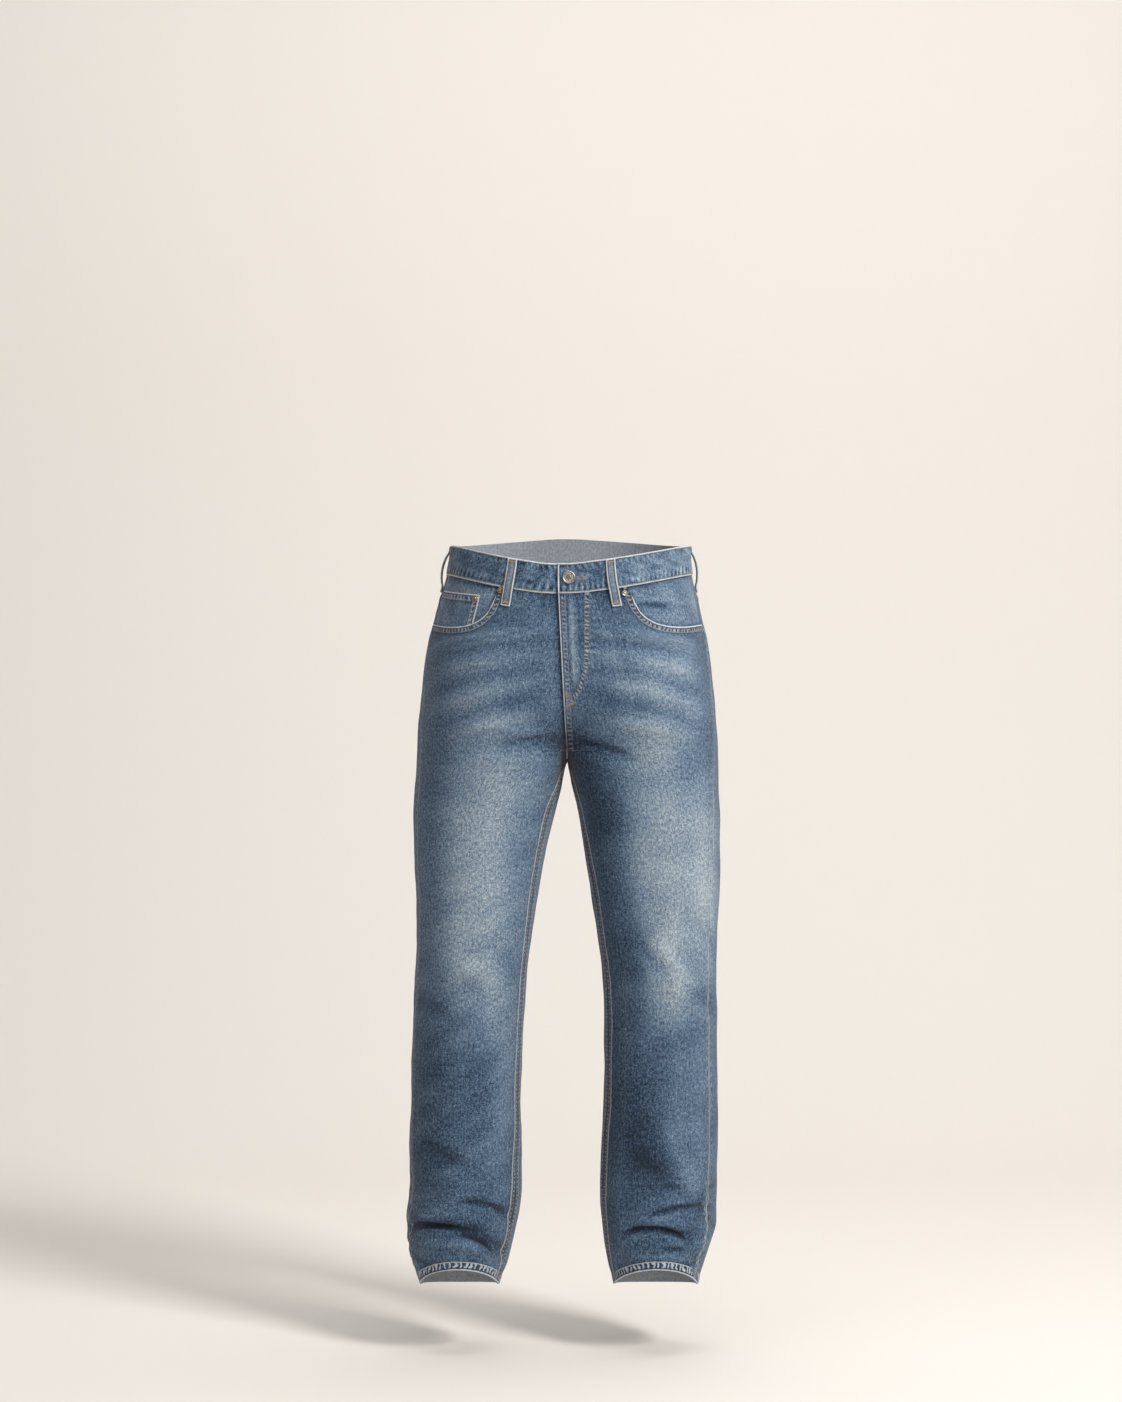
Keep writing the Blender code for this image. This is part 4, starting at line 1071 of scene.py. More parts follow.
# A back pocket's relief: its hem and edges stand out, less the grooves of the sewing
def patchRelief(across, down):
    fromSide = (1 - np.abs(across)) * patchWidth(down) / 2
    fromTop = down * patch["side"]
    fromFoot = (1 - down) * (patch["side"] + patch["point"] * (1 - np.abs(across)))
    edgeWay = np.minimum(fromSide, fromFoot)
    turned = np.maximum(strip(fromTop, -4, patch["hem"], 1.8), 0.5 * strip(edgeWay, -4, 9, 2))
    relief = form["turned"] * turned - 0.3 * grooves(edgeWay, 2, 8) - 0.3 * grooves(fromTop, 14)
    return relief, edgeWay, fromTop, fromSide < fromFoot


def makeBackPocket(side):
    across, down = np.linspace(-1, 1, 91)[None, :], packed(91, 0.2)[:, None]
    across, down = np.broadcast_arrays(across, down)
    angle, z = patchPlace(side, across, down)
    relief, edgeWay, fromTop, onSide = patchRelief(across, down)
    around = angle * roundReach
    pucker = wander(np.where(onSide & (edgeWay < 12), z, around), 6.9, 2.8 + side)
    relief = relief + 0.18 * pucker * bell(edgeWay - 5, 5) + 0.3 * unevenness(around, z, 50, 66 + side)
    panelBelow = panelRelief(side, angle, z, False)[1]
    relief = relief + np.maximum(panelBelow, -0.2)
    tone = fadeAndPaintedLightTone(side, angle, z, np.full(z.shape, 100.0)) + 0.04 + 0.09 * pucker * bell(edgeWay - 5, 6)
    tone = tone + 0.04 * unevenness(around, z, 50, 67 + side)
    seam = nearestSeam([seamField(edgeWay, np.where(onSide, z, around), 9.0, 0.8, 0.6, 0.2),
                        seamField(fromTop, around, 14.0, 0.8, 0.12, 0.5)])
    # painted shade below the hem's step
    paintedShade = 0.4 * bell(fromTop - 18, 1.6)
    low = np.full(z.shape, form["gap"])
    made = clothPiece(clothName("backPocket", side), side, angle, z, low, form["cloth"], relief, tone, 0,
                      paintedShade, seam, None, 6000 + 300 * side)
    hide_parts("back_pocket_" + sideName(side))
    denimPieces.append(made)
    return made


patchMeshes = {side: makeBackPocket(side) for side in (right, left)}


# Waistband

waist = {"out": 1.2, "thick": 3.0, "underlap": 24.0, "turn": 14.0, "puff": 0.5, "level": -20.0,
         "endLevel": -57.0}


# The band's stations: side, angle and how far it is sunk under the buttoned end
def bandStations():
    under = angleAtX(left, form["flyShift"] + waist["underlap"], waist["endLevel"])
    stepOut = angleAtX(right, form["flyShift"] - waist["turn"], waist["endLevel"])
    inset = waist["thick"] + form["gap"]
    first = evenAngles(left, under, 0.0, 17, waist["level"])
    turn = evenAngles(right, 0.02, stepOut, 11, waist["level"])
    rightRun = evenAngles(right, stepOut, fullTurn, 221, waist["level"])[1:]
    leftRun = evenAngles(left, fullTurn, 0.0, 231, waist["level"])[1:]
    onRight, onLeft = len(turn) + len(rightRun), len(leftRun)
    sides = np.concatenate([np.full(len(first), left), np.full(onRight, right), np.full(onLeft, left)])
    angles = np.concatenate([first, turn, rightRun, leftRun])
    ease = np.clip((np.arange(len(turn)) - 3) / 7, 0, 1)
    rise = inset * (1 - ease * ease * (3 - 2 * ease))
    drops = np.concatenate([np.full(len(first), inset), rise, np.zeros(len(rightRun) + onLeft)])
    if len(angles) % 2 == 0:
        sides, angles, drops = sides[1:], angles[1:], drops[1:]
    return sides, angles, drops


# Points of the waistband: the form, moved out along its normals
def bandPoints(sides, angles, z, out):
    points = np.zeros(z.shape + (3,))
    for side in (right, left):
        pick = sides == side
        normal = outward(side, angles[pick], z[:, pick])
        points[:, pick] = surface(side, angles[pick], z[:, pick]) + normal * out[:, pick][..., None]
    return points


def bandRun(sides, angles):
    level = np.full((1, len(angles)), waist["level"])
    line = bandPoints(sides, angles, level, np.zeros((1, len(angles))))[0]
    return np.concatenate([[0], np.cumsum(np.linalg.norm(np.diff(line, axis=0), axis=1))])


def makeWaistband():
    sides, angles, drops = bandStations()
    run = bandRun(sides, angles)
    share = packed(31, 0.35)[:, None]
    down = share * form["band"]
    z = topEdge(angles) - down
    fromEdge = np.minimum(down, form["band"] - down)
    rope = wander(run - 0.2 * down, 8.0, 1.1) * bell(form["band"] - down - 7, 6)
    ropeTop = wander(run + 0.3 * down, 9.0, 4.1) * bell(down - 5, 5)
    fromEnd = np.abs(run[-1] - run)
    relief = waist["puff"] * (1 - bell(fromEdge, 4)) + 0.45 * rope + 0.32 * ropeTop
    relief = relief - 0.3 * grooves(fromEdge, 2.4) - 0.45 * bell(fromEdge, 0.8)
    relief = relief + 0.25 * unevenness(run, z, 45, 17) - 0.3 * grooves(fromEnd, 2.4)
    relief = np.where(drops > 0.1, np.minimum(relief, 0), relief)
    outer = bandPoints(sides, angles, z, waist["out"] + relief - drops)
    inner = bandPoints(sides, angles, z, np.broadcast_to(waist["out"] - waist["thick"] - drops, z.shape))
    tone = 0.34 + 0.30 * rope + 0.18 * ropeTop + 0.10 * unevenness(run, 1.6 * z, 24, 18)
    # painted light: the band is lighter on the wearer's left, the side the key light falls on, up to its
    # buttoned end
    paintedLitHalf = np.clip((run[-1] - 50 - run) / 50, 0, 1) * (sides == left)
    tone = tone + 0.10 * bell(fromEnd - 14, 14) + 0.17 * paintedLitHalf
    edge = 0.10 * np.clip(rope, 0, 1)
    # painted shade below the top row of sewing
    paintedShade = 0.2 * bell(down - 3.6, 1.2)
    seam = nearestSeam([seamField(down, run, noSeam, 0.9, 0, 0),
                        seamField(form["band"] - down, run, noSeam, 0.75, 0, 0),
                        seamField(fromEnd, z, noSeam, 0.85, 0, 0)])
    uv = np.stack(np.broadcast_arrays(run - 500, z), axis=-1)
    made = shell("waistbandCloth", outer, inner, uv, tone, edge, paintedShade, seam)
    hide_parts("waistband")
    denimPieces.append(made)
    return made, run[-1]


waistMesh, bandLength = makeWaistband()
print("back pockets and waistband: made")


# Belt loops

loops = {"width": 13.5, "thick": 2.2, "length": 66.0, "end": 9.0, "gap": 3.4, "sideGap": 7.0, "topZ": -25.0,
         "footZ": -91.0, "rightX": (-75.8, -86.8), "leftX": (60.1, 70.2), "sideAngle": math.radians(184)}


# The angles at the top and the foot of a front loop, from its middle line's x at both
def frontLoop(side):
    topX, footX = loops["leftX"] if side == left else loops["rightX"]
    return side, angleAtX(side, topX, loops["topZ"]), angleAtX(side, footX, loops["footZ"]), loops["gap"]


loopPlaces = {
    "belt_loop_front_right": frontLoop(right),
    "belt_loop_front_left": frontLoop(left),
    "belt_loop_side_right": (right, loops["sideAngle"], loops["sideAngle"], loops["sideGap"]),
    "belt_loop_side_left": (left, loops["sideAngle"], loops["sideAngle"], loops["sideGap"]),
    "belt_loop_back": (left, fullTurn, fullTurn, loops["gap"]),
}


# The loop's middle line down the band: how far out it stands, its directions and its heights
def loopLine(side, angle, foot, gap, count):
    down = np.linspace(0, loops["length"], count)
    free = np.clip((down - loops["end"]) / (loops["length"] - 2 * loops["end"]), 0, 1)
    z = float(topEdge(angle)) - 1.0 - down
    rest = np.where(down < form["band"] + 2, waist["out"] + form["gap"] + 0.5, form["gap"] + 0.4)
    low = np.maximum(rest, waist["out"] + gap * np.sin(free * math.pi) ** 0.6)
    low = np.convolve(np.pad(low, 2, mode="edge"), np.ones(5) / 5, mode="valid")
    turn = angle + (foot - angle) * down / loops["length"]
    place, normal = surface(side, turn, z), outward(side, turn, z)
    tangent = np.cross(normal[count // 2], place[0] - place[-1])
    tangent = tangent / np.linalg.norm(tangent)
    return place, normal, tangent, low, down


def makeLoop(node, side, angle, foot, gap):
    place, normal, tangent, low, down = loopLine(side, angle, foot, gap, 61)
    across = packed(15, 0.4) * 2 - 1
    fromSide = (1 - np.abs(across)) * loops["width"] / 2
    fromEnd = np.minimum(down, loops["length"] - down)[:, None]
    relief = 0.25 * bell(fromSide - 1.6, 1.2) - 0.45 * bell(fromSide, 0.8)
    relief = relief - 0.25 * bell(fromSide - 3.3, 0.9) - 0.5 * bell(fromEnd, 0.8)
    relief = relief + 0.12 * wander(down, 5.5, len(node))[:, None] * bell(fromSide - 2, 2)
    centre = place + normal * low[:, None]
    inner = centre[:, None, :] + across[None, :, None] * loops["width"] / 2 * tangent
    outer = inner + normal[:, None, :] * (loops["thick"] - 0.5 + relief)[..., None]
    seam = seamField(np.minimum(fromSide, fromEnd), down[:, None], noSeam, 0.8, 0, 0)
    tone = 0.43 + 0.08 * wander(down, 7.0, 2 * len(node))[:, None] * bell(fromSide - 5, 4)
    # painted shade in the grooves inside the loop's edges
    paintedShade = 0.25 * bell(fromSide - 3.0, 0.9)
    uvAcross = 7000 + 40 * len(node) + across * loops["width"] / 2
    uv = np.stack(np.broadcast_arrays(uvAcross, down[:, None]), axis=-1)
    made = shell(node.replace("belt_loop_", "loop_") + "_cloth", outer, inner, uv, tone, 0, paintedShade, seam)
    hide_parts(node)
    return made


loopMeshes = [makeLoop(node, *place) for node, place in loopPlaces.items()]
print("belt loops: made")


# Sewing

thread = {"radius": 0.42, "length": 2.9, "pitch": 3.6}
stitchSets = {"pale": [], "tan": [], "brown": []}


# A point at a height above the form, and the normal there
def onFace(side, angle, z, height):
    place, normal = surface(side, angle, z), outward(side, angle, z)
    return place + normal * np.asarray(height)[..., None], normal


def panelFace(side, angle, z, isFront, extra=0.0):
    normal, relief = panelRelief(side, angle, z, isFront)[:2]
    return surface(side, angle, z) + normal * (relief + extra)[..., None], normal


# Moves a line on the cloth sideways: a right angle to its own way, in mm across and down the cloth
def besideLine(side, angle, z, distance):
    _, rate = outward(side, angle, z, withRate=True)
    across, down = np.gradient(angle) * rate, np.gradient(z)
    size = np.maximum(np.hypot(across, down), 1e-9)
    return angle - down / size * distance / rate, z + across / size * distance


def sew(colour, points, normals, pitch=thread["pitch"], length=thread["length"], radius=thread["radius"]):
    stitchSets[colour].append((points, normals, pitch, length, radius))


# Each stitch is a grain: rings of five points, narrow at its ends, laid from one hole to the next
def stitchGrains(points, normals, pitch, length, radius):
    run = np.concatenate([[0], np.cumsum(np.linalg.norm(np.diff(points, axis=0), axis=1))])
    count = max(1, int(run[-1] / pitch))
    starts = (np.arange(count) + 0.5 * (run[-1] / pitch - count)) * pitch + (pitch - length) / 2

    def at(values, where):
        return np.stack([np.interp(where, run, values[:, k]) for k in range(3)], axis=-1)

    first, last = at(points, starts), at(points, starts + length)
    up = at(normals, starts + length / 2)
    up /= np.linalg.norm(up, axis=1, keepdims=True)
    way = last - first
    way /= np.maximum(np.linalg.norm(way, axis=1, keepdims=True), 1e-9)
    sideways = np.cross(up, way)
    ringAt = np.array([0.0, 0.16, 0.5, 0.84, 1.0])
    ringSize = np.array([0.25, 0.85, 1.0, 0.85, 0.25])
    ringUp = np.array([-0.7, 0.15, 0.35, 0.15, -0.7])
    turns = np.arange(4) * 2 * math.pi / 4 + math.pi / 4
    centre = first[:, None, :] + (last - first)[:, None, :] * ringAt[None, :, None]
    centre = centre + up[:, None, :] * (ringUp * radius)[None, :, None]
    spread = np.cos(turns)[:, None] * sideways[:, None, None, :]
    spread = spread + np.sin(turns)[:, None] * up[:, None, None, :]
    grain = centre[:, :, None, :] + spread * (ringSize * radius)[None, :, None, None]
    ring = np.arange(4)
    nextRing = (ring + 1) % 4
    quads = [np.stack([k + ring, k + nextRing, k + 4 + nextRing, k + 4 + ring], 1) for k in (0, 4, 8, 12)]
    ends = np.array([[3, 2, 1, 0], [16, 17, 18, 19]])
    faces = np.concatenate(quads + [ends])
    return grain.reshape(-1, 3), (faces[None] + (np.arange(count) * 20)[:, None, None]).reshape(-1, 4)


# The angles of a row of sewing beside a panel's inner seam
def seamRows(z, side, isFront, distance):
    span = frontSpan if isFront else backSpan
    start, end = span(side, z)
    base = start if isFront else end
    _, rate = outward(side, base, z, withRate=True)
    return base + (1 if isFront else -1) * distance / rate


for side in (right, left):
    z = np.linspace(form["crotch"] - 10, form["hemLevel"] + 16, 900)
    for isFront, distance in ((True, 1.8), (True, 6.4)):
        angle = seamRows(z, side, isFront, distance)
        sew("brown", *panelFace(side, angle, z, isFront))
    # hem, once round on the front and the back
    for isFront in (True, False):
        share = np.linspace(0.002, 0.998, 260)
        span = frontSpan if isFront else backSpan
        angle = atShare(span, side, share, form["hemLevel"])
        sew("pale", *panelFace(side, angle, hemLine(angle) + 11.2, isFront))
    # pocket mouth, two rows
    angle, z = mouthLine(side, 200)
    for distance in (3.0, 8.4):
        a, b = besideLine(side, angle, z, -distance)
        keep = slice(12, -3)
        sew("brown", *panelFace(side, a[keep], b[keep], True))
    # yoke and centre back
    share = np.linspace(0.01, 0.995, 300)
    angle = atShare(backSpan, side, share, yoke["level"])
    for distance in (1.8, 7.2):
        z = yokeFoot(angle) + distance
        height = np.full(z.shape, form["turned"] * 0.9 - 0.05)
        sew("pale", *onFace(side, atShare(backSpan, side, share, z), z, height))
    if side == left:
        for distance in (2.0, 7.4):
            z = np.linspace(-96, form["crotch"] + 12, 300)
            _, rate = outward(side, np.full(z.shape, fullTurn), z, withRate=True)
            angle = np.full(z.shape, fullTurn) - distance / np.maximum(rate, 25)
            sew("pale", *panelFace(side, angle, z, False))

# fly: two rows of the curve, the edge row, and the centre seam under the fly
for inset in (0.9, fly["rows"]):
    x, z = flyLine(inset, 160)
    angle = np.array([angleAtX(left, a, b) for a, b in zip(x, z)])
    sew("brown", *panelFace(left, angle, z, True))
z = np.linspace(-79, form["crotch"] + 26, 160)
for distance in (3.2, fly["edgeRow"]):
    angle = np.array([angleAtX(left, float(middleLine(left, 1.0, b)) + distance, b) for b in z])
    sew("brown", *panelFace(left, angle, z, True))

# coin pocket: two rows on its hem and down its side
coinBase = -form["cloth"] - facing["under"] + form["gap"] + coin["thick"]


def sewCoin(share, z):
    sew("pale", *onFace(right, atShare(frontSpan, right, share, z), z, coinBase + coinRelief(share, z)[0]))


share = np.linspace(coinStart + 0.006, 0.98, 60)
for fromTop in (2.0, 8.5):
    sewCoin(share, coinTop(share) - fromTop)
for fromSide in (2.0, 7.0):
    share = np.full(40, coinStart + fromSide / coin["span"])
    sewCoin(share, coinHeights(share, np.linspace(0.05, 0.96, 40)))


def sewPatch(side, across, down):
    angle, z = patchPlace(side, across, down)
    height = form["gap"] + form["cloth"] + patchRelief(across, down)[0]
    sew("pale", *panelFace(side, angle, z, False, height))


# back pockets: a double row down the sides and along the point, and one under the top hem
for side in (right, left):
    for inset in (2.0, 8.0):
        for reach in (1, -1):
            down = np.linspace(0.0, 1 - inset / 142, 120)
            sewPatch(side, reach * (1 - 2 * inset / patchWidth(down)), down)
        footReach = 1 - 2 * inset / patch["foot"]
        sewPatch(side, np.linspace(-footReach, footReach, 120), np.full(120, 1 - inset / 150))
    sewPatch(side, np.linspace(-0.985, 0.985, 140), np.full(140, 14 / patch["side"]))

# waistband: near its top and bottom edges, and down its buttoned end
sides, angles, drops = bandStations()
for down in (2.4, form["band"] - 2.4):
    for side, keep in ((right, sides == right), (left, (sides == left) & (np.arange(len(sides)) > 60))):
        height = np.full((1, len(angles)), waist["out"] + 0.1) - drops
        points = bandPoints(sides, angles, topEdge(angles)[None, :] - down, height)[0][keep]
        z = topEdge(angles[keep]) - down
        sew("pale", points, outward(side, angles[keep], z))
bandTop = float(topEdge(0.0))
z = np.linspace(bandTop - 2.4, bandTop - form["band"] + 2.4, 30)
angle = np.array([angleAtX(left, form["flyShift"] + 2.4, b) for b in z])
sew("pale", *onFace(left, angle, z, np.full(30, waist["out"] + 0.1)))


# A bar of close zigzag: rows of short threads across the bar, from its two ends on the cloth
def bartack(colour, start, end, normal, width, count):
    way = (end - start) / np.linalg.norm(end - start)
    sideways = np.cross(normal, way)
    for k in range(count):
        middle = start + (end - start) * (k + 0.5) / count
        slant = way * 0.35 * (1 if k % 2 else -1)
        a, b = middle - sideways * width / 2 - slant, middle + sideways * width / 2 + slant
        sew(colour, np.stack([a, b]), np.stack([normal, normal]), width * 1.08, width, 0.36)


for node, ends in loopPlaces.items():
    place, normal, tangent, low, down = loopLine(*ends, 65)
    face = place + normal * (low + loops["thick"] - 0.45)[:, None]
    for row in (4, 60):
        middle, up = face[row], normal[row]
        bartack("tan", middle - tangent * 5.4, middle + tangent * 5.4, up, 3.0, 14)
    for across in (-1, 1):
        line = face + across * tangent * (loops["width"] / 2 - 2.2)
        sew("brown", line[6:59], normal[6:59])


def bartackAt(x, z, dx, dz, width, count):
    points, normals = [], []
    for a, b in ((x, z), (x + dx, z + dz)):
        angle = np.array([angleAtX(left, a, b)])
        point, normal = panelFace(left, angle, np.array([b], float), True, 0.15)
        points.append(point[0])
        normals.append(normal[0])
    bartack("tan", points[0], points[1], normals[0], width, count)


bartackAt(-9, -230, 19, 5, 3.0, 20)
bartackAt(-4, -213, 8, -2, 3.4, 9)
print("sewing: rows laid")


buttonhole = {"x": 18.4, "z": -50.0, "halfLong": 7.4, "halfTall": 1.1, "threads": 46, "reach": 1.5}


def placeAtX(side, x, z, height):
    angle = np.array([angleAtX(side, x, z)])
    point, normal = onFace(side, angle, np.array([float(z)]), np.array([float(height)]))
    return point[0], normal[0]


# Buttonhole: short threads round a long oval
def makeButtonhole():
    height = waist["out"] + waist["puff"] + 0.1
    for turn in np.linspace(0, 2 * math.pi, buttonhole["threads"] + 1)[:-1]:
        way = np.array([math.cos(turn), math.sin(turn)])
        inner = np.array([buttonhole["x"], buttonhole["z"]])
        inner = inner + way * (buttonhole["halfLong"], buttonhole["halfTall"])
        first, _ = placeAtX(left, *inner, height)
        last, normal = placeAtX(left, *(inner + way * buttonhole["reach"]), height)
        sew("tan", np.stack([first, last]), np.stack([normal, normal]), 1.52, 1.48, 0.33)


makeButtonhole()


def makeThreads(colour):
    points, faces, total = [], [], 0
    for line in stitchSets[colour]:
        grain, quads = stitchGrains(*line)
        points.append(grain)
        faces.append(quads + total)
        total += len(grain)
    return setMesh(colour + "Stitches", np.concatenate(points), np.concatenate(faces).tolist())


threadMeshes = {colour: makeThreads(colour) for colour in stitchSets}
for colour, made in threadMeshes.items():
    print(colour, "stitches:", len(made.data.polygons) // 18)


# Metal

# Profiles are in shares of the radius and the height, from the foot's centre to the top's
button = {
    "radius": 9.2,
    "height": 4.2,
    "x": 2.2,
    "z": -49.5,
    "profile": [(0, 0), (0.42, 0), (0.42, 0.38), (0.6, 0.4), (0.93, 0.43), (0.985, 0.52), (1, 0.62),
                (0.99, 0.74), (0.95, 0.86), (0.9, 0.95), (0.84, 0.985), (0.78, 0.95), (0.74, 0.87),
                (0.7, 0.84), (0.62, 0.86), (0.56, 0.92), (0.5, 0.87), (0.42, 0.86), (0.34, 0.92),
                (0.26, 0.95), (0.16, 0.93), (0.08, 0.94), (0, 0.945)],
}
rivet = {
    "radius": 4.3,
    "height": 1.5,
    "profile": [(0, 0), (0.95, 0), (1, 0.25), (0.98, 0.5), (0.9, 0.8), (0.8, 1), (0.7, 0.98), (0.58, 0.76),
                (0.46, 0.68), (0.4, 0.85), (0.35, 1.15), (0.27, 1.3), (0.12, 1.34), (0, 1.35)],
}


# A profile turned round its axis, with a ripple of its heights where asked
def turnedPiece(name, sizes, place, normal, segments, ripple=None):
    profile = np.array(sizes["profile"], float) * (sizes["radius"], sizes["height"])
    turns = np.arange(segments) * 2 * math.pi / segments
    up = normal / np.linalg.norm(normal)
    sideways = np.cross(up, (0, 0, 1.0))
    sideways /= np.linalg.norm(sideways)
    ahead = np.cross(up, sideways)
    radius, height = profile[1:-1, 0][:, None], profile[1:-1, 1][:, None]
    lift = height + (ripple(radius, turns[None, :]) if ripple else 0) + 0 * turns[None, :]
    rings = place + (radius * np.cos(turns))[..., None] * sideways
    rings = rings + (radius * np.sin(turns))[..., None] * ahead + lift[..., None] * up
    poles = np.stack([place + up * profile[0, 1], place + up * profile[-1, 1]])
    count = len(radius)
    index = np.arange(count * segments).reshape(count, segments)
    nextIndex = np.roll(index, -1, axis=1)
    quads = np.stack([index[:-1], nextIndex[:-1], nextIndex[1:], index[1:]], axis=-1).reshape(-1, 4)
    bottom = np.stack([nextIndex[0], index[0], np.full(segments, count * segments)], 1)
    top = np.stack([index[-1], nextIndex[-1], np.full(segments, count * segments + 1)], 1)
    points = np.concatenate([rings.reshape(-1, 3), poles])
    made = setMesh(name, points, quads.tolist() + bottom.tolist() + top.tolist())
    mesh = made.data
    faceNormals = np.array([polygon.normal[:] for polygon in mesh.polygons])
    centres = np.array([polygon.center[:] for polygon in mesh.polygons]) / mm
    fromMiddles = centres - place - up * profile[:, 1].mean()
    if (faceNormals * fromMiddles).sum() < 0:
        mesh.flip_normals()
    return made


# Sixteen shallow rays between the rim and the centre, a plain generic face
def rays(radius, turns):
    share = radius / button["radius"]
    band = np.clip((share - 0.4) / 0.05, 0, 1) * np.clip((0.72 - share) / 0.05, 0, 1)
    return 0.14 * band * np.cos(16 * turns) * (share > 0.43)


def makeButton():
    place, normal = placeAtX(left, button["x"], button["z"], waist["out"] + form["gap"] + 0.2)
    made = turnedPiece("shankButton", button, place, normal, 96, rays)
    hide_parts("button")
    return made


def makeRivet(name, node, side, share, below, height):
    angle = float(atShare(frontSpan, side, share, -75.0))
    z = float(topEdge(angle)) - form["band"] - below
    place, normal = onFace(side, np.array([angle]), np.array([z]), np.array([height]))
    made = turnedPiece(name, rivet, place[0], normal[0], 48)
    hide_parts(node)
    return made


# Each rivet's node, side, share of the front, distance below the waistband and height on the cloth
rivetPlaces = {
    "rivetRight": ("rivet_right", right, mouth["start"] - 0.0145, 5.2, form["turned"] + form["gap"]),
    "rivetLeft": ("rivet_left", left, mouth["start"] - 0.0246, 8.6, form["turned"] + form["gap"]),
    "rivetCoin": ("rivet_coin_pocket", right, coinStart + 0.018, 22.4, coinBase + 0.5),
}
metalMeshes = {"button": makeButton()}
for key, rivetPlace in rivetPlaces.items():
    metalMeshes[key] = makeRivet(key + "Metal", *rivetPlace)
print("button and rivets: made")


# Materials

# A thin helper: adds a material's shader nodes and joins them
class Nodes:
    def __init__(self, name):
        self.material = bpy.data.materials.new(name)
        self.material.use_nodes = True
        self.tree = self.material.node_tree
        self.shader = self.tree.nodes["Principled BSDF"]

    def add(self, kind, values=None):
        node = self.tree.nodes.new(kind)
        for key, value in (values or {}).items():
            if key in node.inputs:
                node.inputs[key].default_value = value
            else:
                setattr(node, key, value)
        return node

    def setShader(self, values):
        for key, value in values.items():
            self.shader.inputs[key].default_value = value

    def bump(self, height, strength, distance):
        node = self.add("ShaderNodeBump", {"Strength": strength, "Distance": distance})
        self.link(height, node.inputs["Height"])
        self.link(node.outputs[0], self.shader.inputs["Normal"])

    def link(self, source, target):
        self.tree.links.new(source, target)

    def math(self, operation, first, second=None, clamp=False):
        node = self.tree.nodes.new("ShaderNodeMath")
        node.operation, node.use_clamp = operation, clamp
        for index, value in enumerate((first, second)):
            if value is None:
                continue
            if isinstance(value, (int, float)):
                node.inputs[index].default_value = value
            else:
                self.tree.links.new(value, node.inputs[index])
        return node.outputs[0]

    def plus(self, first, second, clamp=False):
        return self.math("ADD", first, second, clamp)

    def minus(self, first, second, clamp=False):
        return self.math("SUBTRACT", first, second, clamp)

    def times(self, first, second, clamp=False):
        return self.math("MULTIPLY", first, second, clamp)

    def over(self, first, second, clamp=False):
        return self.math("DIVIDE", first, second, clamp)

    def attribute(self, name):
        return self.add("ShaderNodeAttribute", {"attribute_name": name}).outputs["Fac"]

    def mapped(self, source, scale, turn=0.0):
        node = self.add("ShaderNodeMapping", {"Scale": scale, "Rotation": (0, 0, turn)})
        self.tree.links.new(source, node.inputs["Vector"])
        return node.outputs[0]

    def noise(self, vector, scale, detail, rough=0.5):
        node = self.add("ShaderNodeTexNoise", {"Scale": scale, "Detail": detail, "Roughness": rough})
        self.tree.links.new(vector, node.inputs["Vector"])
        return node.outputs["Fac"]

    def mixColour(self, factor, first, second):
        node = self.tree.nodes.new("ShaderNodeMix")
        node.data_type = "RGBA"
        for key, value in (("Factor", factor), ("A", first), ("B", second)):
            socket = node.inputs[key]
            if isinstance(value, (int, float)):
                socket.default_value = value
            elif isinstance(value, tuple):
                socket.default_value = (*value, 1)
            else:
                self.tree.links.new(value, socket)
        return node.outputs["Result"]


denimLook = {
    "stops": [(0.0, (0.008, 0.015, 0.029)), (0.2, (0.028, 0.052, 0.093)), (0.4, (0.069, 0.121, 0.195)),
              (0.6, (0.146, 0.211, 0.292)), (0.8, (0.272, 0.331, 0.376)), (1.0, (0.46, 0.50, 0.525))],
    "mottle": 1.15,
    "grain": 1.35,
    "streak": 0.34,
    "cloud": 0.10,
    "worn": (0.63, 0.665, 0.68),
    # the colour of the painted shade in the seams' grooves
    "grooveShade": (0.012, 0.018, 0.034),
    "whiteTo": 1.5,
    "rope": 6.0,
    "reverse": (0.40, 0.43, 0.455),
    "twill": 0.001,  # metres from one diagonal ridge to the next
    "reverseDark": (0.12, 0.155, 0.21),
    "greyed": (0.28, 0.29, 0.29),
}


